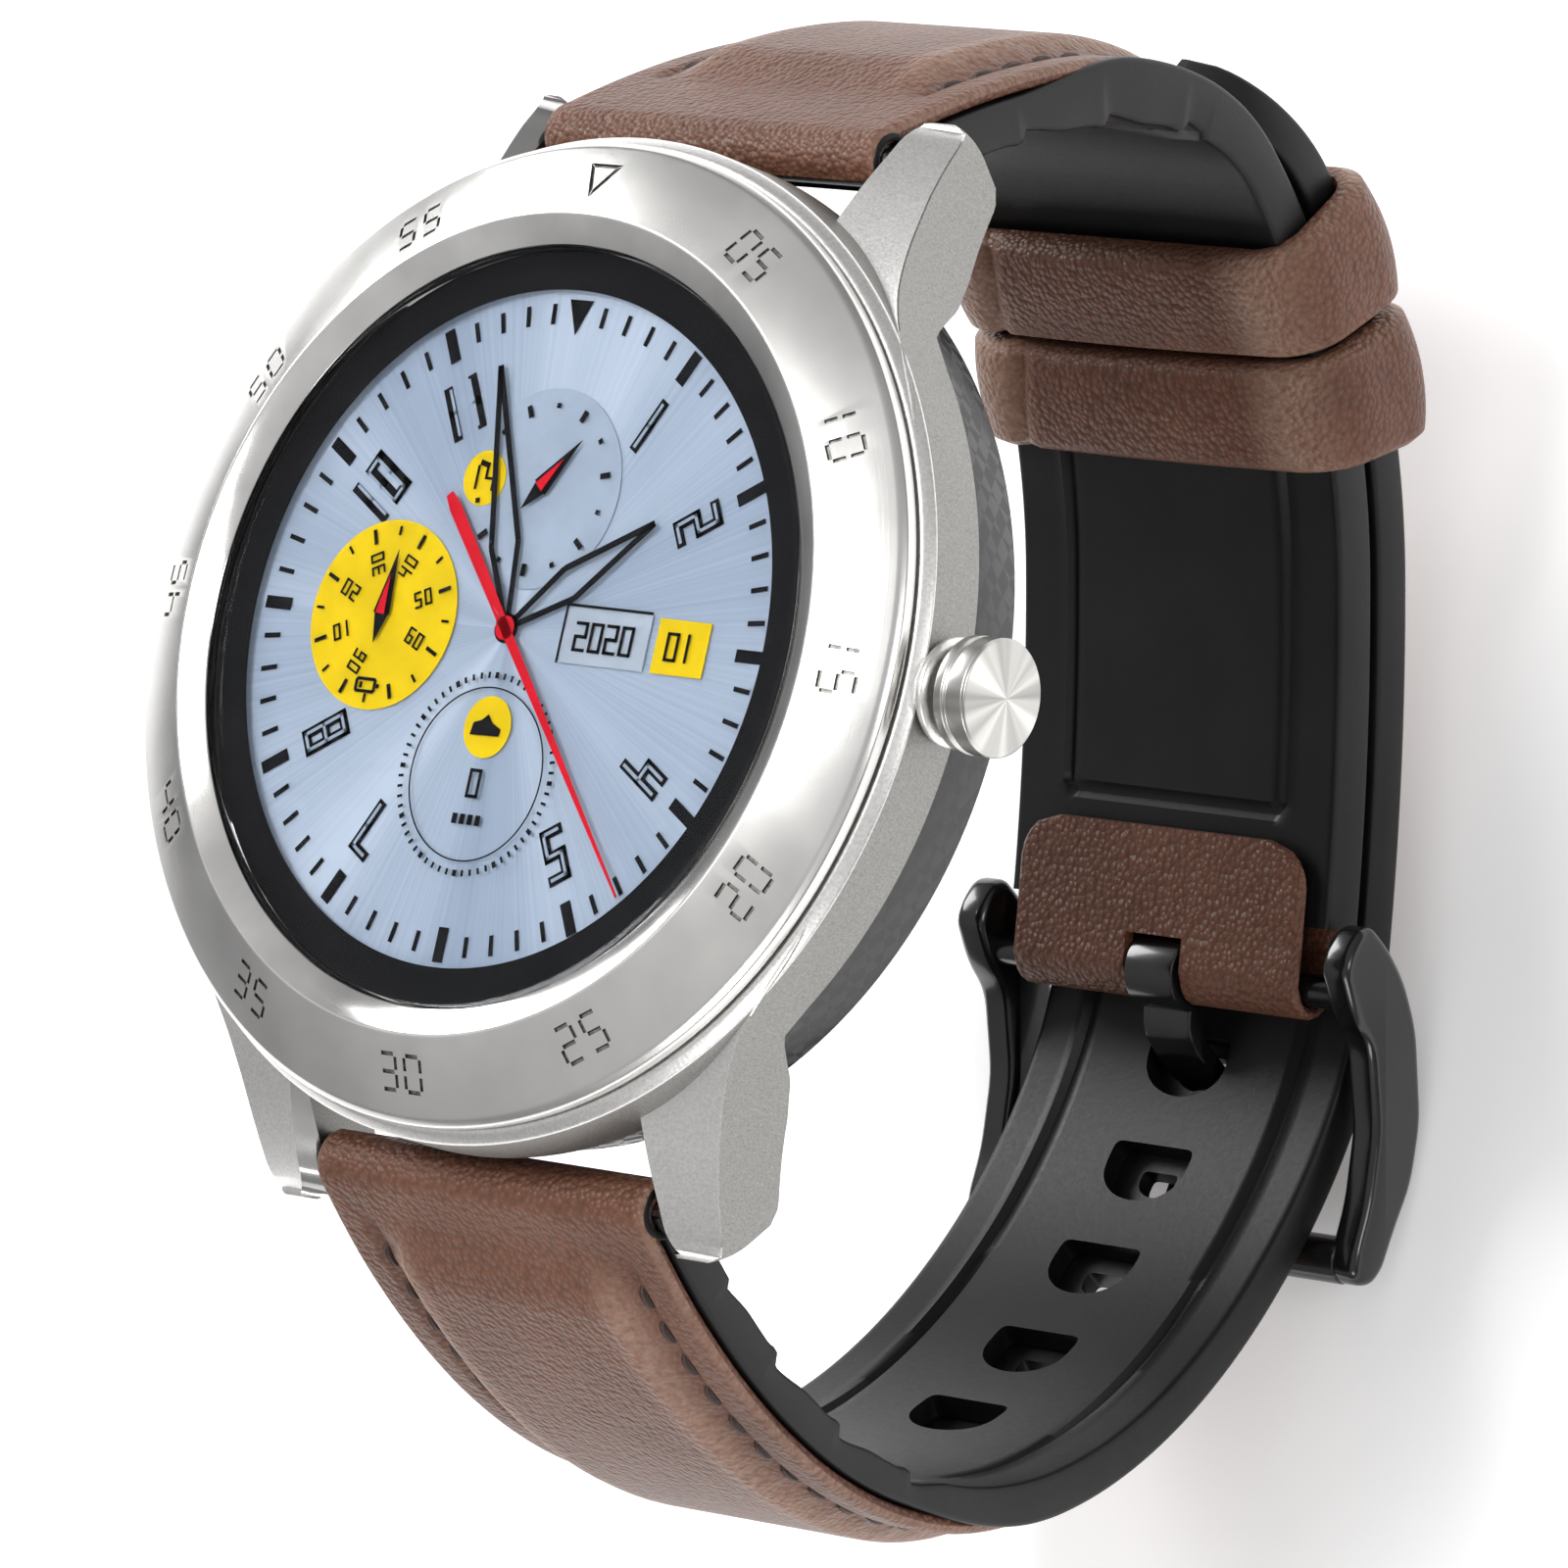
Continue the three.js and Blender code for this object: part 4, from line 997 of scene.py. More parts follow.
class Layer:
    """Collects flat outlines in one colour, and makes them one thin piece."""

    def __init__(self, name, material, level):
        self.name, self.material = name, material
        self.z = BASE_Z + level * LAYER_STEP
        self.points, self.faces = [], []

    def outline(self, corners):
        start, count = len(self.points), len(corners)
        self.points += [(x, y, self.z) for x, y in corners]
        self.points += [(x, y, self.z + LAYER_THICK) for x, y in corners]
        self.faces.append(tuple(start + i for i in reversed(range(count))))
        self.faces.append(tuple(start + count + i for i in range(count)))
        for i in range(count):
            k = (i + 1) % count
            self.faces.append((start + i, start + k, start + count + k, start + count + i))

    def line(self, a, b, width):
        a, b = Vector(a), Vector(b)
        side = (b - a).normalized() * width / 2
        side = Vector((-side.y, side.x))
        self.outline([a - side, b - side, b + side, a + side])

    def disc(self, centre, radius, steps=64):
        self.outline([(centre[0] + radius * math.cos(2 * math.pi * i / steps),
                       centre[1] + radius * math.sin(2 * math.pi * i / steps)) for i in range(steps)])

    def ring(self, centre, radius, width, steps=96):
        for i in range(steps):
            a0, a1 = (2 * math.pi * (i + k) / steps for k in (0, 1))
            self.outline([(centre[0] + r * math.cos(a), centre[1] + r * math.sin(a)) for r, a in (
                (radius - width / 2, a0), (radius + width / 2, a0),
                (radius + width / 2, a1), (radius - width / 2, a1))])

    def tick(self, centre, angle, inner, outer, width):
        """A short line on a ray. The angle is clockwise from 12 o'clock, in degrees."""
        a = math.radians(90 - angle)
        ray = Vector((math.cos(a), math.sin(a)))
        self.line(Vector(centre) + ray * inner, Vector(centre) + ray * outer, width)

    def number(self, text, centre, height, width, thick, angle=0.0):
        for quad in number_strokes(text, centre, height, width, thick, angle, thick / 2):
            self.outline([tuple(p) for p in quad])

    def make(self):
        obj = mesh_piece(self.name, self.points, self.faces, self.material)
        return place_on(obj, "case", "display")


print("dial layers are", LAYER_STEP, "mm apart")

# %% [markdown]
# The ground of the dial stands for the display panel. It is a turned disc that reaches under the
# printed border.

# %% The dial's ground
base = turned("dial_base", [
    (0, 8.8), (17.2, 8.8), (17.2, BASE_Z), (0, BASE_Z)], DIAL, 128)
place_on(base, "case", "display", "display_panel")
print("dial ground at z =", BASE_Z)

# %% [markdown]
# A track of ticks runs round the dial, with a heavy one at each hour and a triangle at twelve. The
# hour figures are hollow: wide black strokes first, and narrow pale ones on top.

# %% Minute track and hour marks
MINUTE_TICK = {"inner": 14.9, "outer": 15.9, "width": 0.24}
HOUR_TICK = {"inner": 14.5, "outer": 16.2, "width": 0.62}
black = Layer("dial_marks", BLACK_INK, 1)
for minute in range(60):
    if minute % 5:
        black.tick((0, 0), 6 * minute, **MINUTE_TICK)
    elif minute:
        black.tick((0, 0), 6 * minute, **HOUR_TICK)
black.outline([(-0.75, 16.1), (0, 14.4), (0.75, 16.1)])

HOURS = (1, 2, 4, 5, 7, 8, 10, 11)
FIGURE_RADIUS, FIGURE_HIGH, FIGURE_WIDE = 12.0, 2.35, 0.85
pale = Layer("dial_numeral_centres", PALE_INK, 2)
for hour in HOURS:
    facing = math.radians(-30 * hour)
    spot = clock_place(5 * hour, FIGURE_RADIUS)
    black.number(str(hour), spot, FIGURE_HIGH, FIGURE_WIDE, 0.52, facing)
    pale.number(str(hour), spot, FIGURE_HIGH, FIGURE_WIDE, 0.16, facing)
print("points on the track:", len(black.points))

# %% [markdown]
# Three small dials show charge, steps and the day. They stand on plates in their own colours, so
# the plates are one layer and the marks another. Words on them are left out, and plain marks stand
# there.

# %% Plates of the small dials
charge, steps_dial, day_dial = (-8.3, 0.0), (0.0, -7.1), (0.15, 6.9)
plate = Layer("dial_plates", ink("plate_ink", (0.33, 0.39, 0.48), 0.1), 1)
plate.disc(day_dial, 4.9)
yellow = Layer("dial_yellow", YELLOW_INK, 2)
yellow.disc(charge, 4.67)
yellow.disc((0.0, -4.8), 1.5)
yellow.disc((-3.7, 7.1), 1.35)
yellow.outline([(9.45, -1.3), (12.7, -1.3), (12.7, 1.35), (9.45, 1.35)])
print("plates:", plate.name, yellow.name)

# %% [markdown]
# The charge dial has tens round its rim and a battery sign below. Eight numbers fit, and the place
# of the first is where the sign stands.

# %% Charge scale
detail = Layer("dial_small_marks", BLACK_INK, 4)
for i, tens in enumerate(("", "90", "10", "20", "30", "40", "50", "60")):
    degrees = 22.5 + 45 * i + 112.5
    detail.tick(charge, degrees, 3.9, 4.35, 0.13)
    detail.tick(charge, degrees + 22.5, 3.6, 4.35, 0.2)
    a = math.radians(90 - degrees - 22.5)
    spot = (charge[0] + 2.6 * math.cos(a), charge[1] + 2.6 * math.sin(a))
    if tens:
        detail.number(tens, spot, 0.72, 0.34, 0.1, a)
for corner_a, corner_b in (((-9.0, -3.2), (-7.8, -3.2)), ((-9.0, -3.8), (-7.8, -3.8)),
                           ((-9.0, -3.2), (-9.0, -3.8)), ((-7.8, -3.2), (-7.8, -3.8)),
                           ((-7.6, -3.4), (-7.6, -3.6)), ((-8.7, -3.35), (-8.7, -3.65))):
    detail.line(corner_a, corner_b, 0.16)
print("points in the charge scale:", len(detail.points))

# %% [markdown]
# The steps dial has a fine ring of ticks, a count and a shoe. The day dial has seven long ticks,
# one for each day, and the date stands in two framed windows.

# %% Steps, day and date
detail.ring(steps_dial, 4.2, 0.07)
for i in range(60):
    detail.tick(steps_dial, 6 * i, 4.65, 4.95, 0.13 if i % 5 else 0.22)
detail.number("0", (0.0, -7.55), 1.25, 0.62, 0.17)
for i in range(4):
    detail.line((-0.9 + 0.5 * i, -9.3), (-0.6 + 0.5 * i, -9.3), 0.5)
for i in range(7):
    detail.tick(day_dial, 25.7 + 51.4 * i, 3.7, 4.3, 0.28)
    detail.tick(day_dial, 51.4 * i, 3.9, 4.15, 0.24)
detail.number("14", (-3.7, 7.1), 1.05, 0.5, 0.13)
detail.number("01", (11.05, 0.02), 1.25, 0.62, 0.15)
detail.number("2020", (6.2, 0.02), 1.3, 0.62, 0.16)
for corner_a, corner_b in (((3.55, 1.5), (9.0, 1.5)), ((3.55, 1.5), (3.55, -1.35))):
    detail.line(corner_a, corner_b, 0.13)
shoe = [(-0.95, -5.25), (0.9, -5.2), (0.95, -4.85), (0.35, -4.6), (0.0, -4.2), (-0.35, -4.5),
        (-0.85, -4.65)]
detail.outline(shoe)
window = Layer("dial_window", ink("window_ink", (0.38, 0.43, 0.5), 0.1), 2)
window.outline([(3.62, -1.3), (8.95, -1.3), (8.95, 1.43), (3.62, 1.43)])
print("points in the small marks:", len(detail.points))

# %% [markdown]
# The hour and minute hands are outlines with nothing inside them, and the second hand is solid red
# with a counterweight. A point on a hand is easiest to give as its distance out and aside.

# %% The main hands
hands = Layer("dial_hands", BLACK_INK, 6)
seconds = Layer("dial_second_hand", RED_INK, 8)
pointers = Layer("dial_pointers", RED_INK, 6)


def ray(angle, distance, aside=0.0, centre=(0, 0)):
    """A point on a hand: its distance out and to the right of the hand's middle line."""
    a = math.radians(90 - angle)
    return (centre[0] + distance * math.cos(a) + aside * math.sin(a),
            centre[1] + distance * math.sin(a) - aside * math.cos(a))


def hollow_hand(angle, length, half_width):
    corners = [(0.5, 0.12), (4.2, half_width), (length, 0.0), (4.2, -half_width), (0.5, -0.12)]
    spots = [ray(angle, d, s) for d, s in corners]
    for a, b in zip(spots, spots[1:]):
        hands.line(a, b, 0.32)


hollow_hand(-17.9, 13.2, 0.85)
hollow_hand(54, 9.8, 0.85)
hands.disc((0, 0), 0.75)
seconds.outline([ray(138.4, d, s) for d, s in ((-8.2, -0.22), (-8.2, 0.22), (-7.4, 0.36), (0, 0.28),
                                              (16.1, 0.06), (16.1, -0.06), (0, -0.28), (-7.4, -0.36))])
seconds.disc((0, 0), 0.6)
print("points in the hands:", len(hands.points))

# %% [markdown]
# The small dials have diamond pointers, red in front and black behind. Once all outlines are
# collected, each layer becomes one piece.

# %% Pointers, and the layers made
def diamond(centre, angle, length):
    back = [(-length * 0.45, 0.0), (0.0, 0.42), (length * 0.25, 0.0), (0.0, -0.42)]
    front = [(0.0, 0.42), (length, 0.0), (0.0, -0.42)]
    hands.outline([ray(angle, d, s, centre) for d, s in back])
    hands.outline([ray(angle, d, s * 1.25, centre) for d, s in front])
    pointers.outline([ray(angle, d * 0.6, s * 0.7, centre) for d, s in front])


pointers.z += 2 * LAYER_STEP
diamond(charge, 5, 3.2)
diamond(day_dial, 40, 3.2)
for layer in (black, pale, plate, yellow, detail, window, hands, seconds, pointers):
    layer.make()
print("dial layers top out at z =", seconds.z + LAYER_THICK)

# %% [markdown]
# The crown is turned too. Its cap has a fine groove near its back and a slightly conical face, and
# next to it the tube ends in a collar on the case. Both take their places from the CAD boxes.

# %% Crown and its tube
crown_x0, crown_x1 = crown_low.x / MM, crown_high.x / MM
crown_r, axis_z = (crown_high.y - crown_low.y) / 2 / MM, crown_axis_z / MM
groove_x = crown_x0 + 0.75
face_x = crown_x1 - 0.25
cap = turned("crown_button", rounded([
    (0.7, crown_x0), (crown_r - 0.2, crown_x0), (crown_r, crown_x0 + 0.2), (crown_r, groove_x - 0.1),
    (crown_r - 0.16, groove_x), (crown_r - 0.16, groove_x + 0.12), (crown_r, groove_x + 0.22),
    (crown_r, face_x - 0.12), (crown_r - 0.14, face_x), (0.0, crown_x1), (0, crown_x0 + 0.9),
    (0.7, crown_x0 + 0.9)], 0.06, 3), SUNRAY, 128, "X", axis_z, 25)
place_on(cap, "crown", "polished_steel", "crown_cap")
tube_low, tube_high = (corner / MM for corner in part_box("crown_tube"))
flange_r = (tube_high.y - tube_low.y) / 2
# The collar takes the light copy of the case steel, whose colour is painted light.
tube = turned("crown_collar", rounded([
    (0.8, tube_low.x), (1.15, tube_low.x), (1.15, 24.7), (flange_r - 0.25, 24.7),
    (flange_r, 24.95), (flange_r, tube_high.x - 0.2), (flange_r - 0.3, tube_high.x),
    (0.8, tube_high.x)], 0.15, 4), STEEL_PAINTED_LIGHT, 96, "X", axis_z, 25)
place_on(tube, "case", "polished_steel", "crown_tube")
print("crown radius and length:", round(crown_r, 2), round(crown_x1 - crown_x0, 2))

# %% [markdown]
# The case back is a shallow bowl of woven fibre. Its outer wall shows behind the case from the
# side. Its flat face has the sensor window, and pockets for the screws and the charging contacts.

# %% Case back and window
WINDOW_RADIUS, WINDOW_THICK, CONTACT_X, CONTACT_Y = 11.8, 1.1, 2, -16.4
BACK_FLAT_RADIUS, BACK_RIM_RADIUS, BACK_INNER_RADIUS, BACK_PLATE, BACK_TOP_Z = 22.8, 24.3, 20.4, 1.4, 4.5
back = turned("fibre_back", rounded([
    (WINDOW_RADIUS + 0.1, 0), (BACK_FLAT_RADIUS, 0), (BACK_FLAT_RADIUS + 0.6, 0.6),
    (BACK_RIM_RADIUS, BACK_TOP_Z), (BACK_INNER_RADIUS, BACK_TOP_Z), (BACK_INNER_RADIUS, BACK_PLATE),
    (WINDOW_RADIUS + 0.1, BACK_PLATE)], 0.15, 3), FIBRE, 192)


def pocket(x, y, radius, depth):
    """Sinks a round pocket into the flat face."""
    tool = turned("pocket", [(0, -0.5), (radius, -0.5), (radius, depth), (0, depth)], FIBRE, 32)
    tool.data.transform(Matrix.Translation(Vector((x, y, 0)) * MM))
    cut(back, tool)


for number in range(1, 5):
    low, high = (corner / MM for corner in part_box(f"case_screw_{number}"))
    pocket((low.x + high.x) / 2, (low.y + high.y) / 2, 1.15, 1.2)
for side in (-1, 1):
    pocket(CONTACT_X * side, CONTACT_Y, 1.1, 2)
place_on(back, "case", "back_composite", "case_back")
pane = turned("sensor_pane", rounded([
    (0, 0), (WINDOW_RADIUS, 0), (WINDOW_RADIUS, WINDOW_THICK), (0, WINDOW_THICK)], 0.15, 3),
    DARK_GLASS, 128)
place_on(pane, "case", "window_glass", "sensor_window")
print("case back faces:", len(back.data.polygons))

# %% [markdown]
# Everything on the strap is laid out along a line seen from the side. That line could be drawn
# freehand, but its ends are joints of the frame: the spring bars, the buckle bar and the centre of
# the wrist arc. The layers' thicknesses set how far outside the tail lies.

# %% Places from the frame
JOINTS = {joint["name"]: joint for joint in frame["joints"]}


def joint_place(name):
    _, y, z = JOINTS[name]["pos_m"]
    return Vector((y, z)) / MM


BAR_12, BAR_6 = joint_place("strap_12_hinge"), joint_place("strap_6_hinge")
BUCKLE_BAR, WRIST = joint_place("buckle_swing"), joint_place("keeper_lower_slide")
FLAT_RADIUS, WRIST_RADIUS, RISE = 125.0, 36.0, math.radians(10)
KNEE = math.radians(19.4)
WRIST_END, TAIL_END = KNEE + math.radians(36.5), KNEE + math.radians(41)
LEAVE_12, LEAVE_6 = math.radians(124), math.radians(-130)
OUTWARD = {"liner_12": 1.5, "liner_6": 1.2, "leather": 1.0, "layer_gap": 0.1, "tail_gap": 0.85}
HALF_12 = (OUTWARD["liner_12"] + OUTWARD["leather"] + OUTWARD["layer_gap"]) / 2
HALF_6 = (OUTWARD["liner_6"] + OUTWARD["leather"] + OUTWARD["layer_gap"]) / 2
TAIL_OFFSET = HALF_12 + OUTWARD["tail_gap"] + HALF_6
print("tail lies outside by", round(TAIL_OFFSET, 2))

# %% [markdown]
# The line is made of arcs, with a bend where the strap leaves the lugs. A bend is a cubic curve
# between two headings. A roll turns about one point, for an end that wraps a bar. Each gives
# places with their outward directions.

# %% Arcs, bends and rolls
def heading(angle):
    return Vector((math.cos(angle), math.sin(angle)))


def outward(angle):
    return Vector((math.sin(angle), -math.cos(angle)))


def arc(centre, radius, start, end, steps):
    angles = [start + (end - start) * i / steps for i in range(steps + 1)]
    return [(centre + outward(a) * radius, outward(a)) for a in angles]


def bend(start, start_angle, start_pull, end, end_angle, end_pull, steps):
    p = [start, start + heading(start_angle) * start_pull, end - heading(end_angle) * end_pull, end]
    made = []
    for i in range(steps + 1):
        t = i / steps
        u = 1 - t
        point = p[0] * u**3 + p[1] * 3 * u * u * t + p[2] * 3 * u * t * t + p[3] * t**3
        go = (p[1] - p[0]) * u * u + (p[2] - p[1]) * 2 * u * t + (p[3] - p[2]) * t * t
        go.normalize()
        made.append((point, Vector((go.y, -go.x))))
    return made


def roll(centre, start, end, steps):
    """Places that turn about one point, for a strap's end that wraps a bar."""
    return [(centre, Vector(start).lerp(end, i / steps).normalized()) for i in range(1, steps + 1)]


print("quarter of a ring of 10 mm ends at", arc(Vector((0, 0)), 10, 0, math.pi / 2, 8)[-1][0])

# %% [markdown]
# A strap has to be built in plain numbers: across, along and outward. So the line counts the
# distance run at each place, and turns a distance back into a place.

# %% A line to measure along
class Line:
    """A strap's line. Distances over a roll are counted at the given radius."""

    def __init__(self, spots, roll_radius=1.3):
        self.spots, self.run = spots, [0.0]
        for (p, o), (q, r) in zip(spots, spots[1:]):
            step = (q - p).length
            self.run.append(self.run[-1] + (step if step > 1e-6 else (r - o).length * roll_radius))
        self.length = self.run[-1]

    def at(self, s):
        i = 1
        while i < len(self.run) - 1 and self.run[i] < s:
            i += 1
        t = (s - self.run[i - 1]) / (self.run[i] - self.run[i - 1])
        (p, o), (q, r) = self.spots[i - 1], self.spots[i]
        return p.lerp(q, t), o.lerp(r, t).normalized()

    def point(self, x, s, d):
        p, o = self.at(s)
        return (x, p.x + o.x * d, p.y + o.y * d)


straight = Line([(Vector((0, 0)), Vector((0, -1))), (Vector((10, 0)), Vector((0, -1)))])
print("straight line, mm:", straight.length)

# %% [markdown]
# One half runs from the buckle to 12 o'clock, the other from 6 o'clock through the buckle to the
# tail's end, outside the first. Both are measured here, as their lengths tell how much leather is
# needed.

# %% The two lines
knee_point = WRIST + outward(KNEE) * WRIST_RADIUS
flat_centre = knee_point - outward(KNEE) * FLAT_RADIUS
wrist_end = WRIST + outward(WRIST_END) * WRIST_RADIUS
back_12 = arc(flat_centre, FLAT_RADIUS, RISE, KNEE, 24) + arc(WRIST, WRIST_RADIUS, KNEE, WRIST_END, 40)[1:]
upper_12 = bend(wrist_end, WRIST_END, 8.7, BAR_12, LEAVE_12, 9.6, 56)[1:]
line_12 = Line(back_12 + upper_12)
tail_start = flat_centre + outward(RISE) * (FLAT_RADIUS + TAIL_OFFSET)
front_6 = bend(BAR_6, LEAVE_6, 42, tail_start, RISE, 14, 110)
tail_6 = (arc(flat_centre, FLAT_RADIUS + TAIL_OFFSET, RISE, KNEE, 24)[1:]
          + arc(WRIST, WRIST_RADIUS + TAIL_OFFSET, KNEE, TAIL_END, 44)[1:])
line_6 = Line(front_6 + tail_6)
front_6_length = Line(front_6).length
print("strap lengths, mm:", round(line_12.length, 1), round(line_6.length, 1))

# %% [markdown]
# A strap layer is a sheet with a top and a bottom. Both are heights over the line, given by a
# function of across and along, so grooves, pads and ledges are all hills and dents in one grid.
# Sculpting could do this too, but a function can be measured. Columns crowd towards the rounded
# edges.

# %% A sheet that follows a line
def bump_at(value, centre, half_width):
    """1 at the centre, falling smoothly to 0 at the half width."""
    return smooth(1 - abs(value - centre) / half_width)


def columns(count, edge):
    inner = [edge[-1] * (2 * i / count - 1) for i in range(1, count)]
    return [-e for e in edge] + inner + list(reversed(edge))


def sheet(name, line, s0, s1, half_width, low, high, material, count=60, step=0.45,
          edge_round=0.45, wear_and_highlight=None, edge=(1.0, 0.993, 0.982, 0.965)):
    """A closed sheet from s0 to s1. half_width(s), low(x, s) and high(x, s) are in millimetres."""
    rows = max(2, round((s1 - s0) / step))
    across = columns(count, edge)
    points, faces, worn = [], [], []
    for level in (high, low):
        sign = 1 if level is high else -1
        for i in range(rows + 1):
            s = s0 + (s1 - s0) * i / rows
            w = half_width(s)
            for u in across:
                x = u * w
                into = max(0.0, abs(x) - (w - edge_round)) / edge_round
                drop = edge_round * (1 - math.sqrt(max(0.0, 1 - into * into)))
                d = level(x, s) - sign * min(drop, 0.48 * (high(x, s) - low(x, s)))
                points.append(line.point(x, s, d))
                worn.append(wear_and_highlight(x, s) if wear_and_highlight and sign == 1 else 0.0)
    n, half_count = len(across), (rows + 1) * len(across)
    for i in range(rows):
        for j in range(n - 1):
            a = i * n + j
            faces.append((a, a + 1, a + n + 1, a + n))
            faces.append((half_count + a, half_count + a + n, half_count + a + n + 1, half_count + a + 1))
        for j in (0, n - 1):
            a = i * n + j
            quad = (a, a + n, half_count + a + n, half_count + a)
            faces.append(quad if j == 0 else quad[::-1])
    for i in (0, rows):
        for j in range(n - 1):
            a = i * n + j
            quad = (a, half_count + a, half_count + a + 1, a + 1)
            faces.append(quad if i == 0 else quad[::-1])
    obj = mesh_piece(name, points, faces, material, 40)
    set_wear(obj, worn)
    return obj


print("columns across a sheet:", len(columns(60, (1.0, 0.993, 0.982, 0.965))))

# %% [markdown]
# Both halves narrow a little from the lugs, and the tail ends in a round tip. The rubber is thick
# at the lugs and thin at the back.

# %% Widths and thicknesses
STRAP_WIDE, BUCKLE_WIDE, TAIL_WIDE = 21.8, 21.0, 20.4
LINER_FULL = 2.3
back_12_length = Line(back_12).length


def mix(a, b, t):
    return a + (b - a) * max(0.0, min(1.0, t))


def width_12(s):
    return mix(BUCKLE_WIDE, STRAP_WIDE, (s - 20) / (line_12.length - 30)) / 2


def width_6(s):
    left = max(0.0, line_6.length - s)
    tip = math.sqrt(max(0.0, 1 - ((7 - left) / 7) ** 2)) if left < 7 else 1.0
    return mix(STRAP_WIDE, TAIL_WIDE, (s - 15) / 40) / 2 * (0.45 + 0.55 * tip)


def liner_12(s):
    return mix(OUTWARD["liner_12"], LINER_FULL, (s - back_12_length) / 12)


def liner_6(s):
    return mix(LINER_FULL, OUTWARD["liner_6"], (s - 5) / 30)


def levels(liner, s):
    """Inner face, seam between the layers, and outer face, as distances outward."""
    total = liner(s) + OUTWARD["layer_gap"] + OUTWARD["leather"]
    return -total / 2, -total / 2 + liner(s), total / 2


print("thickness at the lugs and at the tail:", round(2 * levels(liner_6, 0)[2], 2), round(2 * HALF_6, 2))

# %% [markdown]
# The rubber liner is moulded. A panel with a fine raised border runs down the middle of its inner
# face, and near the lugs stepped ledges let air under the strap. The ledges run out to the edge,
# where they show as notches.

# %% Grooves and ledges
PANEL_X = 7.1


def groove(x, at, half_width=0.4, depth=0.4):
    """A fine groove with a small raised lip beside it."""
    return depth * bump_at(abs(x), at, half_width) - 0.1 * bump_at(abs(x), at + 0.45, 0.3)


def ledges(x, s, first, last):
    """Slanted steps on both sides of the inner face, between two distances."""
    if not first < s < last:
        return 0.0
    pitch, slant = 6.4, 0.5
    phase = ((s - first) - slant * (abs(x) - 5.0)) % pitch
    inside = smooth((abs(x) - 5.0) / 0.3) * (1 - 0.45 * smooth((abs(x) - 9.4) / 0.3))
    sunk = 0.85 * smooth((phase - 2.4) / 0.25) * smooth((pitch - 0.4 - phase) / 3.4)
    return inside * (sunk - 0.2 * bump_at(phase, 2.1, 0.6))


def inner_6(x, s):
    holes = smooth((s - 30) / 3) * (1 - smooth((s - line_6.length + 34) / 3))
    near_lug = 1 - smooth((s - 22) / 4)
    fan = 5.2 + 1.9 * smooth((s - 6) / 20)
    dent = holes * groove(x, PANEL_X) + near_lug * groove(x, fan) + ledges(x, s, 6.0, 27.0)
    return levels(liner_6, s)[0] + dent


def inner_12(x, s):
    start, end = 8.8, 34.0
    side = groove(x, PANEL_X) * smooth((s - start) / 0.6) * smooth((end - s) / 0.6)
    across = 0.4 * smooth((PANEL_X - abs(x)) / 0.3) * (bump_at(s, start, 0.45) + bump_at(s, end, 0.45))
    steps = ledges(x, line_12.length - s, 4.0, 24.0)
    return levels(liner_12, s)[0] + side + across + steps


print("depth of the groove beside the panel:", groove(PANEL_X, PANEL_X))

# %% [markdown]
# A hole has one flat end and one round end, where the tongue sits. It is cut with a tall prism, so
# the same tool can pass through the rubber and the leather.

# %% A strap hole
def hole_tool(s, size):
    """A hole with one flat end and one round end, as a tall prism through a layer."""
    turns = [math.pi * i / 10 for i in range(1, 10)]
    round_end = [(2.6 * math.cos(a), 0.2 - 1.9 * math.sin(a)) for a in turns]
    outline = [(-2.6, 1.6), (2.6, 1.6), (2.6, 0.2), *round_end, (-2.6, 0.2)]
    outline = rounded([(x * size, y * size) for x, y in outline], 0.5, 3)
    p, o = line_6.at(s)
    go = Vector((-o.y, o.x))
    points = [(x, *(p + go * y + o * d)) for d in (-3.2, 3.2) for x, y in outline]
    return mesh_piece("hole", points, prism_faces(len(outline)), RUBBER)


HOLE_PITCH, HOLE_COUNT = 6.3, 5
first_hole = front_6_length - 5.2
EDGE_LIP = 0.75
print("first hole at", round(first_hole, 1), "mm along")

# %% [markdown]
# Outside, the rubber is flat under the leather. Away from the lugs it rises beside the leather as
# a narrow lip. The lip is one more height in the same sheet, with a few more columns.

# %% The rubber liners
def lip_6(s):
    return smooth((s - 24) / 12)


def lip_12(s):
    return smooth((line_12.length - s - 9) / 9)


def lipped(liner, width, lip):
    """The liner's outer face: flat under the leather, with a lip that rises beside it."""
    def outer(x, s):
        _, seam, top = levels(liner, s)
        rise = smooth((abs(x) - (width(s) - EDGE_LIP)) / 0.12) * lip(s)
        return mix(seam, top - 0.05, rise)
    return outer


LIP_COLUMNS = (1.0, 0.993, 0.985, 0.97, 0.95, 0.934, 0.926)
rubber_6 = sheet("rubber_6", line_6, 0.0, line_6.length, width_6, inner_6,
                 lipped(liner_6, width_6, lip_6), RUBBER, step=0.32, edge=LIP_COLUMNS, edge_round=0.3)
rubber_12 = sheet("rubber_12", line_12, 3.2, line_12.length, width_12, inner_12,
                  lipped(liner_12, width_12, lip_12), RUBBER, step=0.32, edge=LIP_COLUMNS, edge_round=0.3)
print("rubber points:", len(rubber_6.data.vertices), len(rubber_12.data.vertices))

# %% [markdown]
# The leather is sewn on over a foam pad. Down the middle it is raised, most of all by the lugs,
# and at the stitch line it dips and puckers. Cloth simulation could puff it up, but the seams are
# so regular that a formula for the swelling holds the shape better.

# %% Padding and wear
MARGIN, STITCH, STITCH_PITCH, THREAD_RADIUS = 2.5, 1.6, 2.3, 0.24


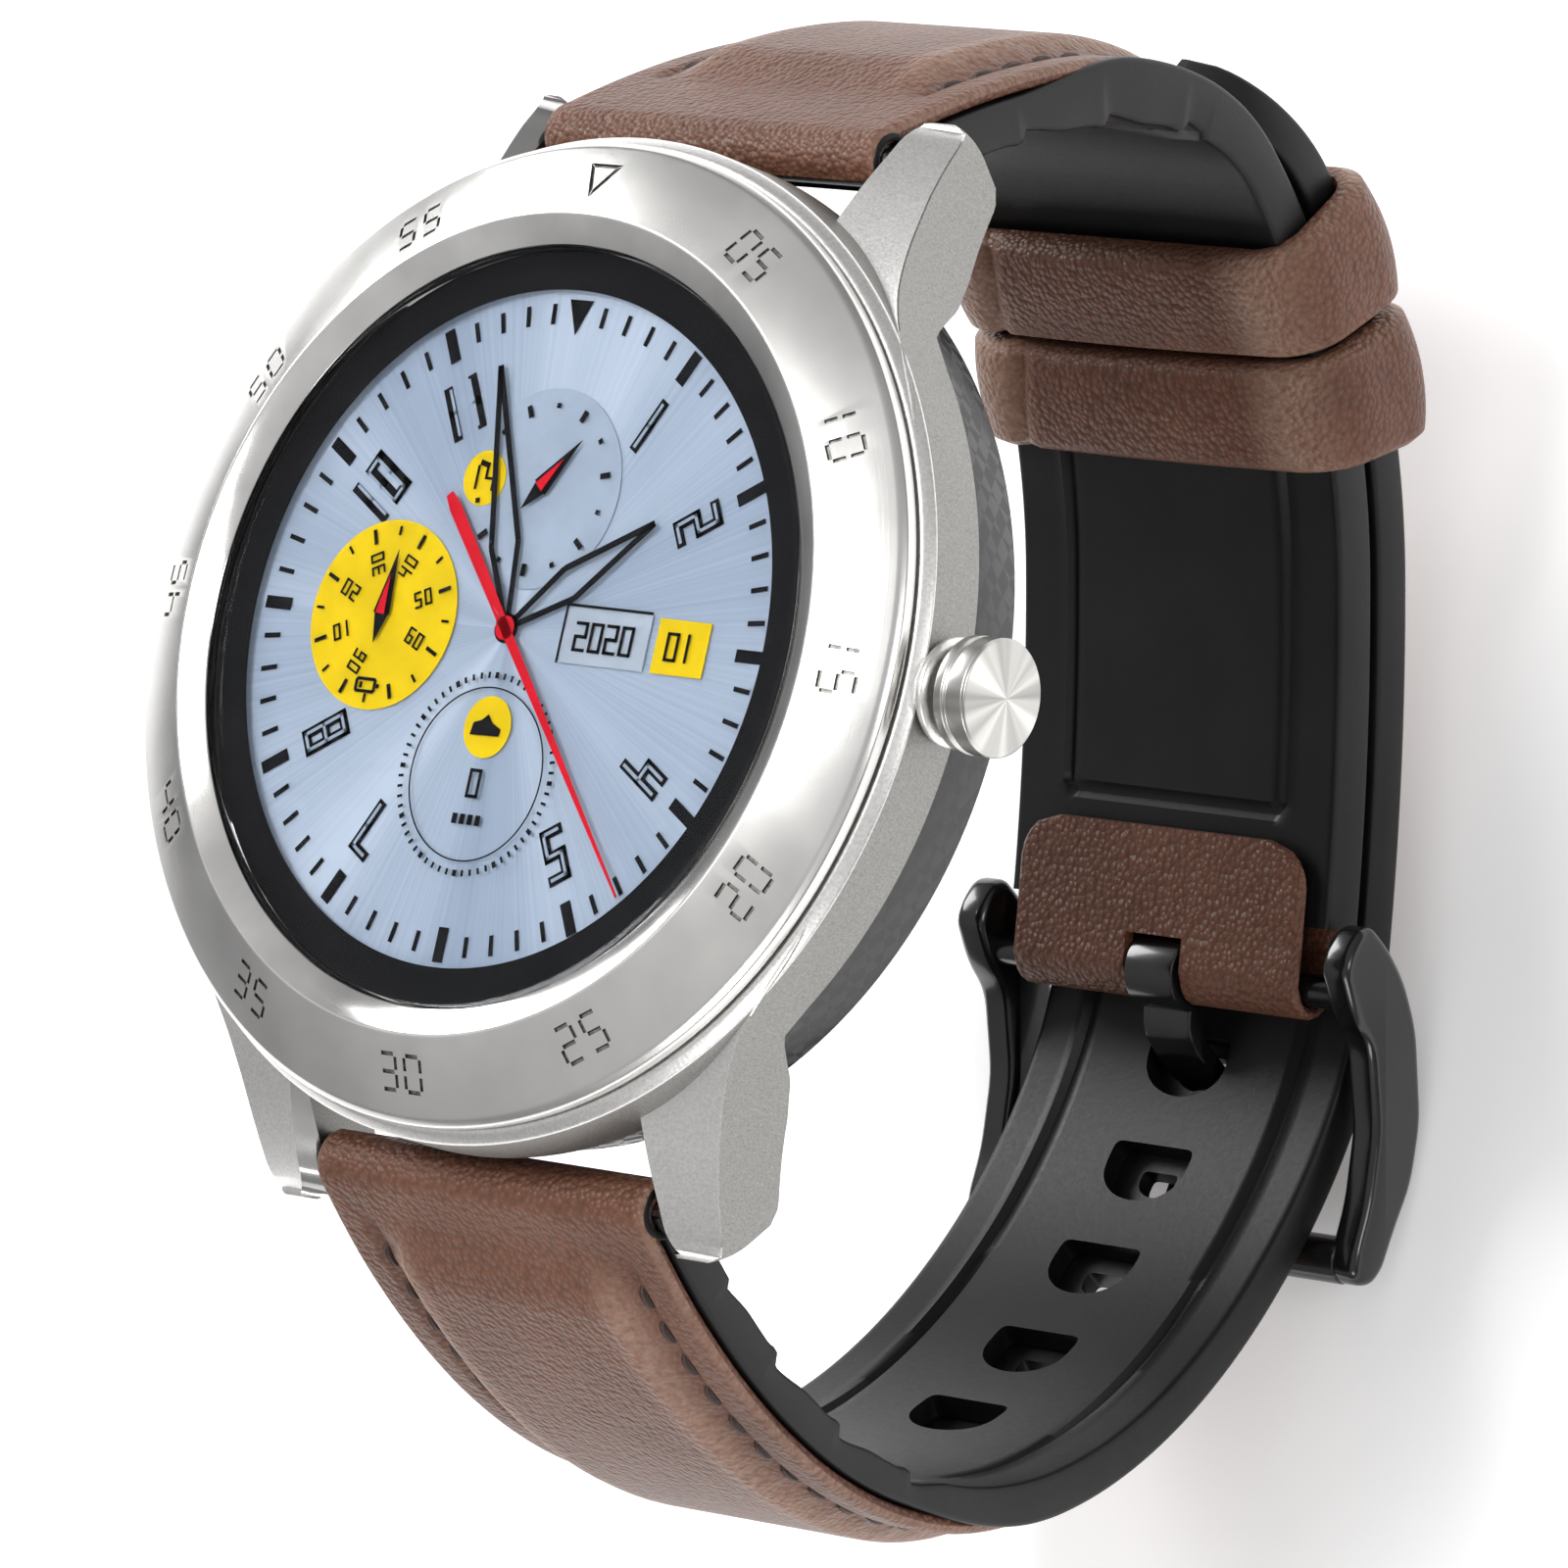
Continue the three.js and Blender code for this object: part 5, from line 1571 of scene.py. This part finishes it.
def pad(x, s, w, fullness):
    """Height of the padding across the strap, with a puckered dip at the stitch line."""
    inside = (w - MARGIN) - abs(x)
    swell = 0.95 * smooth((inside - 0.3) / 1.6) * fullness
    pucker = 0.1 * math.cos(2 * math.pi * s / STITCH_PITCH) * bump_at(inside, 0.7, 1.0)
    dip = 0.3 * bump_at(inside, -0.15, 0.6) * min(1.0, fullness * 7)
    return swell - dip + pucker * min(1.0, fullness * 2)


def full_6(s):
    return (1 - 0.85 * smooth((s - 30) / 30)) * smooth((s - 1.4) / 4)


def full_12(s):
    from_lug = line_12.length - s
    return (1 - 0.85 * smooth((from_lug - 22) / 20)) * smooth((from_lug - 1.4) / 4)


def leather_width_6(s):
    return width_6(s) - mix(0.12, 0.7, lip_6(s))


def leather_width_12(s):
    return width_12(s) - mix(0.12, 0.7, lip_12(s))


def outer_6(x, s):
    return levels(liner_6, s)[2] - 0.1 + pad(x, s, leather_width_6(s), full_6(s))


def outer_12(x, s):
    return levels(liner_12, s)[2] - 0.1 + pad(x, s, leather_width_12(s), full_12(s))


# Pale along the tops of the pads and the edges: wear, and painted highlight too.
def ridge_wear(width, full):
    def worn(x, s):
        inside = (width(s) - MARGIN) - abs(x)
        edge = 0.5 * bump_at(abs(x), width(s), 0.5)
        return min(1.0, full(s) * 0.75 * bump_at(inside, 1.5, 1.5) + edge + 0.12)
    return worn


print("padding in the middle of the strap:", round(pad(0, 0, STRAP_WIDE / 2, 1.0), 2))

# %% [markdown]
# At the lugs the leather turns round the spring bar. So its own line is the strap's line with a
# roll in front. The tops of the ridges are where hands and cuffs rub, and get worn, and they also
# get a painted highlight in the same paler colour.

# %% Leather of the 6 o'clock half
WRAP_12 = roll(BAR_12, line_12.spots[-1][1], heading(LEAVE_12), 12)
WRAP_12 += roll(BAR_12, heading(LEAVE_12), heading(math.radians(160)), 6)
WRAP_6 = roll(BAR_6, line_6.spots[0][1], -heading(LEAVE_6), 12)
WRAP_6 += roll(BAR_6, -heading(LEAVE_6), heading(math.radians(20)), 6)
skin_line_6 = Line(list(reversed(WRAP_6)) + line_6.spots)
wrap_6_length = skin_line_6.length - line_6.length
rubbed_and_lit_6 = ridge_wear(leather_width_6, full_6)


def along_6(s):
    """Distance along the strap's own line for a distance along the wrapped leather."""
    return max(0.0, s - wrap_6_length)


def skin_low_6(x, s):
    return levels(liner_6, along_6(s))[1] + 0.1 - 0.2 * smooth(1 - s / 4)


leather_6 = sheet(
    "leather_6", skin_line_6, 0.0, skin_line_6.length - 0.8, lambda s: leather_width_6(s - wrap_6_length),
    skin_low_6, lambda x, s: outer_6(x, along_6(s)), STRAP_LEATHER,
    wear_and_highlight=lambda x, s: rubbed_and_lit_6(x, s - wrap_6_length))
print("wrap round the bar, mm:", round(wrap_6_length, 2), "whole leather:", round(skin_line_6.length, 1))

# %% [markdown]
# At the buckle, the other half's leather turns round the buckle bar and comes back inside as a
# flap with round corners. Two pieces could be laid together, but a fold is one piece. Its line
# starts at the flap's end, rolls over the bar and goes on up to the lugs.

# %% The folded line
FLAP, FOLD_RADIUS = 7.4, 1.25
flap_spots = [(p + o * (levels(liner_12, 0)[0] - 0.6), -o) for p, o in (
    line_12.at(FLAP - FLAP * i / 12) for i in range(13))]
outer_spots = [(p + o * (levels(liner_12, s)[1] + 0.6), o) for s, (p, o) in (
    (s, line_12.at(s)) for s in (0.4 * i for i in range(2, int(line_12.length / 0.4) + 1)))]
first_out = outer_spots[0][1]
sweep = []
for i in range(1, 16):
    angle = math.atan2(-first_out.y, -first_out.x) + math.pi * i / 16
    direction = Vector((math.cos(angle), math.sin(angle)))
    sweep.append((BUCKLE_BAR + direction * FOLD_RADIUS, direction))
bar_out = levels(liner_12, line_12.length)[1] + 0.6
wrap_spots = [(BAR_12 + o * bar_out, o) for _, o in WRAP_12]
fold_line = Line(flap_spots + sweep + outer_spots + wrap_spots)
fold_length = Line(flap_spots + sweep).length
print("folded leather, mm:", round(fold_line.length, 1))

# %% [markdown]
# The sheet on that line has no padding in the flap. Its low and high faces change over from flap
# to strap just past the bar.

# %% Leather of the 12 o'clock half
def along_12(s):
    """Distance along the strap's own line for a distance along the folded leather."""
    return max(0.0, min(line_12.length, s - fold_length + 0.8))


def fold_width(s):
    corner = 2.4
    round_off = corner - math.sqrt(max(0.0, corner**2 - max(0.0, corner - s) ** 2))
    return leather_width_12(along_12(s)) - round_off - 0.35 * (1 - smooth((s - fold_length) / 6))


def fold_high(x, s):
    main, run = smooth((s - fold_length - 1) / 3), along_12(s)
    return 0.3 + 0.1 * main + main * pad(x, run, leather_width_12(run), full_12(run))


rubbed_and_lit_12 = ridge_wear(leather_width_12, full_12)


def fold_wear(x, s):
    return rubbed_and_lit_12(x, along_12(s)) if s > fold_length else 0.1


def fold_low(x, s):
    return -0.35 - 0.15 * smooth((s - fold_length - 1) / 3)


leather_12 = sheet("leather_12", fold_line, 0.0, fold_line.length - 0.3, fold_width, fold_low, fold_high,
                   STRAP_LEATHER, wear_and_highlight=fold_wear)
print("faces of the folded leather:", len(leather_12.data.polygons))

# %% [markdown]
# The tongue needs a slot through the fold, and the tail needs its holes. In the leather the holes
# are smaller, and the first one is pulled wide by use. In the leather, faces near the middle that
# don't face outward, such as the hole walls, take the black rubber finish.

# %% Slot and holes
def box_tool(name, centre, size, angle):
    """A box turned about X, in the strap's side view."""
    points = []
    for x in (-size[0] / 2, size[0] / 2):
        for a, b in ((-1, -1), (1, -1), (1, 1), (-1, 1)):
            spot = Vector(centre) + heading(angle) * a * size[1] / 2 + outward(angle) * b * size[2] / 2
            points.append((x, spot.x, spot.y))
    faces = [(0, 1, 2, 3), (4, 7, 6, 5), (0, 4, 5, 1), (1, 5, 6, 2), (2, 6, 7, 3), (3, 7, 4, 0)]
    return mesh_piece(name, points, faces, RUBBER)


cut(leather_12, box_tool("slot", BUCKLE_BAR - heading(RISE) * 0.9, (3.7, 5.4, 8), RISE), sharp=40)
for i in range(HOLE_COUNT):
    cut(rubber_6, hole_tool(first_hole - HOLE_PITCH * i, 1.0), sharp=40)
    cut(leather_6, hole_tool(first_hole - HOLE_PITCH * i, 0.58 if i == 0 else 0.44), sharp=40)
leather_6.data.materials.append(RUBBER)
# Faces near the middle that don't face outward, such as hole walls, take the black rubber finish.
for face in leather_6.data.polygons:
    x, y, z = face.center / MM
    from_wrist = (Vector((y, z)) - WRIST).normalized()
    if abs(x) < 3.2 and z < -15 and from_wrist.dot(face.normal.yz) < 0.3:
        face.material_index = 1
print("leather points:", len(leather_6.data.vertices), len(leather_12.data.vertices))

# %% [markdown]
# Each stitch is a short thick thread that dives into the leather at both ends. A dashed texture
# would lie flat, so each is a small tube with tapered ends, and a loop sets them along both edges.

# %% Stitching
def stitches(name, line, s0, s1, width, surface):
    """A row of stitches on both sides. surface(x, s) is the leather's height."""
    points, faces = [], []
    sides, lengths = 8, 6
    for k in range(int((s1 - s0) / STITCH_PITCH)):
        for side in (-1, 1):
            middle = s0 + k * STITCH_PITCH
            x0 = side * (width(middle) - MARGIN + 0.15)
            start = len(points)
            for i in range(lengths + 1):
                t = i / lengths
                s = middle + (t - 0.5) * STITCH
                thick = THREAD_RADIUS * math.sqrt(max(0.06, 1 - (2 * t - 1) ** 4))
                height = surface(x0, s) + 0.16 - 0.3 * (2 * t - 1) ** 4
                for j in range(sides):
                    a = 2 * math.pi * j / sides
                    points.append(line.point(x0 + thick * math.cos(a), s, height + thick * math.sin(a)))
            for i in range(lengths):
                for j in range(sides):
                    a, b = start + i * sides + j, start + i * sides + (j + 1) % sides
                    faces.append((a, b, b + sides, a + sides))
            last = start + lengths * sides
            faces += [tuple(start + j for j in range(sides)), tuple(last + j for j in range(sides))]
    return mesh_piece(name, points, faces, THREAD)


tail_stop = line_6.length - 8
stitching_6 = stitches("stitching_6", line_6, 4.5, tail_stop, leather_width_6, outer_6)
stitching_12 = stitches("stitching_12", line_12, 8.0, line_12.length - 4, leather_width_12, outer_12)
print("stitch points:", len(stitching_6.data.vertices), len(stitching_12.data.vertices))

# %% [markdown]
# The strap bends at one place in each half. It could be cut there, but a seam would open. Here
# each layer only has its place baked into its mesh, and the CAD layers that it stands for are
# hidden.

# %% The strap layers in place of the CAD layers
def across_joint(obj, joint, upper, lower, toward, slot, *nodes):
    y, z = joint_place(joint)
    reach = Vector(toward) * 9
    start, end = (0, (y + reach.x) * MM, (z + reach.y) * MM), (0, (y - reach.x) * MM, (z - reach.y) * MM)
    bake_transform(obj)
    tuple(start)
    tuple(end)
    if nodes:
        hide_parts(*nodes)


up_12, up_6 = (-0.25, 0.97), (0.25, 0.97)
across_joint(rubber_12, "strap_12_flex", "strap_12_upper", "strap_12_back", up_12, "strap_rubber",
             "strap_12_liner_upper", "strap_12_liner_back")
across_joint(leather_12, "strap_12_flex", "strap_12_upper", "strap_12_back", up_12, "strap_leather",
             "strap_12_leather_upper", "strap_12_leather_back")
across_joint(stitching_12, "strap_12_flex", "strap_12_upper", "strap_12_back", up_12, "strap_leather")
across_joint(rubber_6, "strap_6_flex", "strap_6_upper", "strap_6_back", up_6, "strap_rubber",
             "strap_6_liner_upper", "strap_6_liner_back")
across_joint(leather_6, "strap_6_flex", "strap_6_upper", "strap_6_back", up_6, "strap_leather",
             "strap_6_leather_upper", "strap_6_leather_back")
across_joint(stitching_6, "strap_6_flex", "strap_6_upper", "strap_6_back", up_6, "strap_leather")
print("bends, mm:", joint_place("strap_12_flex"), joint_place("strap_6_flex"))

# %% [markdown]
# Where the rubber turns round each spring bar it forms a sleeve. It is a turned tube along the
# bar, and it rides on the upper body.

# %% Sleeves round the spring bars
for name, place, body in (("knuckle_12", BAR_12, "strap_12_upper"), ("knuckle_6", BAR_6, "strap_6_upper")):
    knuckle = turned(name, rounded([(0.95, -10.8), (1.35, -10.8), (1.35, 10.8), (0.95, 10.8)], 0.1, 2),
                     RUBBER, 48, "X", place.y)
    knuckle.data.transform(Matrix.Translation((0, place.x * MM, 0)))
    place_on(knuckle, body, "strap_rubber")
    print("sleeve round the bar at", place)

# %% [markdown]
# A keeper is a leather loop folded over foam. A torus would be too round: its path is a flat loop
# with round corners, seen along the strap.

# %% Path of a keeper
def loop_path(half_x, low, high, corner, steps=10):
    """A rounded loop in (across, outward), as points with their outward directions."""
    centres = [(half_x - corner, low + corner, -90), (half_x - corner, high - corner, 0),
               (corner - half_x, high - corner, 90), (corner - half_x, low + corner, 180)]
    path = []
    for cx, cd, start in centres:
        for i in range(steps + 1):
            a = math.radians(start + 90 * i / steps)
            path.append((cx + corner * math.cos(a), cd + corner * math.sin(a), math.cos(a), math.sin(a)))
    dense = []
    for i, (x, d, nx, nd) in enumerate(path):
        x2, d2, nx2, nd2 = path[(i + 1) % len(path)]
        parts = max(1, round(math.hypot(x2 - x, d2 - d) / 0.5))
        for k in range(parts):
            t = k / parts
            dense.append((x + (x2 - x) * t, d + (d2 - d) * t, nx + (nx2 - nx) * t, nd + (nd2 - nd) * t))
    return dense


print("points round a square loop:", len(loop_path(5, -5, 5, 1)))

# %% [markdown]
# The path is swept along the wrist arc. The outer face swells in the middle of its width. Near one
# corner it has a soft crease, where the leather is folded over its joint.

# %% Padded keepers
KEEPER_HALF_X, KEEPER_CORNER, KEEPER_WIDE, KEEPER_WALL = 10.95, 1.8, 6.15, 1.15


def keeper(name, node_name, body, start_angle):
    """A padded loop on the wrist arc, from an angle on."""
    low, high = -HALF_12 - 0.35, HALF_12 + OUTWARD["tail_gap"] + 2 * HALF_6 + 0.35
    path = loop_path(KEEPER_HALF_X, low, high, KEEPER_CORNER)
    rows = 16
    points, faces, worn = [], [], []
    for sign in (1, 0):
        for i in range(rows + 1):
            v = 2 * i / rows - 1
            angle = start_angle + (v + 1) / 2 * KEEPER_WIDE / WRIST_RADIUS
            out = outward(angle)
            for x, d, nx, nd in path:
                puff = KEEPER_WALL + 0.42 * (1 - v**2) + 0.35 * max(0.0, -nd) * (1 - (x / 11) ** 2)
                crease = 0.5 * bump_at(x, -8.0 + 0.6 * v, 0.8) * max(0.0, -nd)
                edge = 0.5 * (1 - math.sqrt(max(0.0, 1 - max(0.0, (abs(v) - 0.86) / 0.14) ** 2)))
                h = (puff - crease - edge) if sign else 0.0
                p = WRIST + out * (WRIST_RADIUS + d + nd * h)
                points.append((x + nx * h, p.x, p.y))
                # Paler at the loop's round corners, its edges and the crease: wear, and painted highlight too.
                rub_and_highlight = 0.9 * bump_at(abs(x + nx * h), 9.6, 3.0) + 0.3 * smooth((abs(v) - 0.75) / 0.2)
                rub_and_highlight += 0.25 * bump_at(x, -7.4 + 0.5 * v, 0.7)
                worn.append(min(1.0, rub_and_highlight) if sign else 0.0)
    n, half_count = len(path), (rows + 1) * len(path)
    for i in range(rows):
        for j in range(n):
            a, b = i * n + j, i * n + (j + 1) % n
            faces.append((a, b, b + n, a + n))
            faces.append((half_count + a, half_count + a + n, half_count + b + n, half_count + b))
    for i in (0, rows):
        for j in range(n):
            a, b = i * n + j, i * n + (j + 1) % n
            faces.append((a, half_count + a, half_count + b, b))
    obj = mesh_piece(name, points, faces, STRAP_LEATHER, 50)
    set_wear(obj, worn)
    place_on(obj, body, "strap_leather", node_name)


KEEPER_STEP = 6.6 / WRIST_RADIUS
keeper_start = KNEE + math.radians(10) + 0.1 / WRIST_RADIUS
keeper("loop_lower", "keeper_lower", "keeper_low", keeper_start)
keeper("loop_upper", "keeper_upper", "keeper_up", keeper_start + KEEPER_STEP)
print("keepers start at, degrees:", round(math.degrees(keeper_start), 1))

# %% [markdown]
# The buckle is cast metal, with two curved arms and a crossbar between their far ends. The buckle
# bar is a joint of the frame. The crossbar lies on the tail, so its place comes from the strap's
# line and its thickness.

# %% Place of the crossbar
CROSSBAR_RADIUS, ARM_THICK, ARM_INNER_X = 1.2, 2.0, 11.1
crossbar_s = first_hole - 7.6
bar_point, bar_outward = line_6.at(crossbar_s)
crossbar = bar_point + bar_outward * (levels(liner_6, crossbar_s)[2] + 0.3 + CROSSBAR_RADIUS)
arm = BUCKLE_BAR - crossbar
arm_length = arm.length
arm_axis = arm.normalized()
arm_out = Vector((arm_axis.y, -arm_axis.x))


def arm_point(run, out):
    return crossbar + arm_axis * run + arm_out * out


def bevelled(obj, width, segments=3, sharp=40):
    step = obj.modifiers.new("edges", "BEVEL")
    step.width = width * MM
    step.segments = segments
    step.limit_method = "ANGLE"
    step.angle_limit = math.radians(35)
    apply_modifiers(obj, sharp)


print("buckle length, mm:", round(arm_length, 1))

# %% [markdown]
# An arm is a flat plate with a curved outline and soft edges, and a rod is turned. Sweeping a tube
# along a curve would lose the arm's flat sides.

# %% Arm plates and rods
ARM_OUTLINE = [
    (arm_length + 1.5, -2.0), (arm_length + 2.6, -1.5), (arm_length + 3.5, -0.6), (arm_length + 3.6, 0.3),
    (arm_length + 2.4, 1.6), (arm_length + 0.6, 2.9), (arm_length - 2, 3.9), (arm_length / 2, 4.3),
    (3.6, 3.6), (1.4, 2.3), (-0.5, 1.35), (-1.2, 0.5), (-1.1, -0.5), (-0.4, -1.1), (0.8, -0.9),
    (3.0, 0.0), (arm_length / 2, 0.7), (arm_length - 2.4, 0.2), (arm_length - 0.8, -1.1)]


def arm_plate(x0, x1):
    outline = rounded(ARM_OUTLINE, 1.0, 4)
    points = [(x, *arm_point(run, out)) for x in (x0, x1) for run, out in outline]
    return mesh_piece("arm", points, prism_faces(len(outline)), BLACK_METAL)


def rod(name, radius, x0, x1, place, material, steps=48, soften=0.2):
    made = turned(name, rounded([(0, x0), (radius, x0), (radius, x1), (0, x1)], soften, 3),
                  material, steps, "X", place.y)
    made.data.transform(Matrix.Translation((0, place.x * MM, 0)))
    return made


print("outline of an arm has", len(ARM_OUTLINE), "points")

# %% [markdown]
# Both arms are bevelled together, and the crossbar is then joined to them, so that its ends keep
# their crisp seams. The pin stays a piece of its own.

# %% The buckle frame
buckle = arm_plate(ARM_INNER_X + 0.1, ARM_INNER_X + ARM_THICK)
buckle.name = "buckle_arms"
cut(buckle, arm_plate(-ARM_INNER_X - ARM_THICK, -ARM_INNER_X - 0.1), "UNION")
bevelled(buckle, 0.55, 4)
bar_half = ARM_INNER_X + 0.6
cut(buckle, rod("bar", CROSSBAR_RADIUS, -bar_half, bar_half, crossbar, BLACK_METAL), "UNION")
place_on(buckle, "buckle", "black_metal", "buckle_frame")
pin = rod("buckle_pin", 0.85, -ARM_INNER_X - 1.85, ARM_INNER_X + 1.85, BUCKLE_BAR, BLACK_METAL)
place_on(pin, "buckle", "black_metal", "buckle_bar")
print("buckle faces:", len(buckle.data.polygons))

# %% [markdown]
# The tongue is a bent strip that hooks round the bar, passes down through a hole and rests on the
# crossbar. Its path runs smoothly through a few stops, and a rounded section is swept along it.

# %% The tongue
TONGUE_WIDE, TONGUE_THICK = 3.2, 1.0


def from_bar(run, out):
    return BUCKLE_BAR - heading(RISE) * run + outward(RISE) * out


rest = CROSSBAR_RADIUS + 0.1 + TONGUE_THICK / 2
tongue_stops = [from_bar(1.4, 0.3), from_bar(3.2, 0.7), from_bar(5.3, 3.3), from_bar(7.0, 5.4),
                arm_point(1.5, rest), arm_point(-1.0, rest)]


def through(stops, steps):
    """A smooth path through a few stops."""
    ends = [stops[0] * 2 - stops[1], *stops, stops[-1] * 2 - stops[-2]]
    path = []
    for a, b, c, d in zip(ends, ends[1:], ends[2:], ends[3:]):
        for i in range(steps):
            t = i / steps
            path.append((b * 2 + (c - a) * t + (a * 2 - b * 5 + c * 4 - d) * t * t
                         + (b * 3 - a - c * 3 + d) * t**3) / 2)
    return path + [stops[-1]]


tongue_path = through(tongue_stops, 6)
tongue_points = []
section = rounded([(-1.6, -0.5), (1.6, -0.5), (1.6, 0.5), (-1.6, 0.5)], 0.28, 3)
for i, spot in enumerate(tongue_path):
    go = (tongue_path[min(i + 1, len(tongue_path) - 1)] - tongue_path[max(i - 1, 0)]).normalized()
    out = Vector((go.y, -go.x)) * -1
    for x, d in section:
        tongue_points.append((x, *(spot + out * d)))
tongue_faces = loft_faces(len(tongue_path), len(section))
tongue = mesh_piece("tongue_strip", tongue_points, tongue_faces, BLACK_METAL)
cut(tongue, rod("hook", 1.95, -TONGUE_WIDE / 2, TONGUE_WIDE / 2, BUCKLE_BAR, BLACK_METAL), "UNION")
cut(tongue, rod("bore", 1.05, -TONGUE_WIDE, TONGUE_WIDE, BUCKLE_BAR, BLACK_METAL))
place_on(tongue, "tongue", "black_metal", "buckle_tongue")
print("tongue faces:", len(tongue.data.polygons))

# %% [markdown]
# The pieces that the CAD model already shapes well keep their meshes and only get a finish: the
# spring bars, screws, seals, boards and everything sealed inside the case. Each one's slot says
# which finish it takes.

# %% Finishes for the carried-over parts
FINISHES = {
    "polished_steel": SMALL_STEEL, "seal_rubber": SEAL, "inner_plastic": PLASTIC,
    "circuit_board": BOARD, "gold_contact": GOLD, "strap_rubber": RUBBER, "black_metal": BLACK_METAL,
}
slots = {part["node"]: part["material_slot"] for part in frame["record"]["subparts"]}
for name, obj in frame["nodes"].items():
    material = FINISHES.get(slots[name])
    if material and not obj.hide_render:
        obj.data.materials.clear()
        obj.data.materials.append(material)
shown = [name for name, obj in frame["nodes"].items() if not obj.hide_render]
print("CAD nodes still shown:", len(shown))

# %% [markdown]
# Last, the floor is set right under the lower of the visual model's box and the CAD model's, and
# the visual box is printed.

# %% Sizes and finish
low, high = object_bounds()
floor.location.z = min(low.z, cad_low.z)
print("visual box, mm:", [round(v / MM, 1) for v in (*low, *high)])
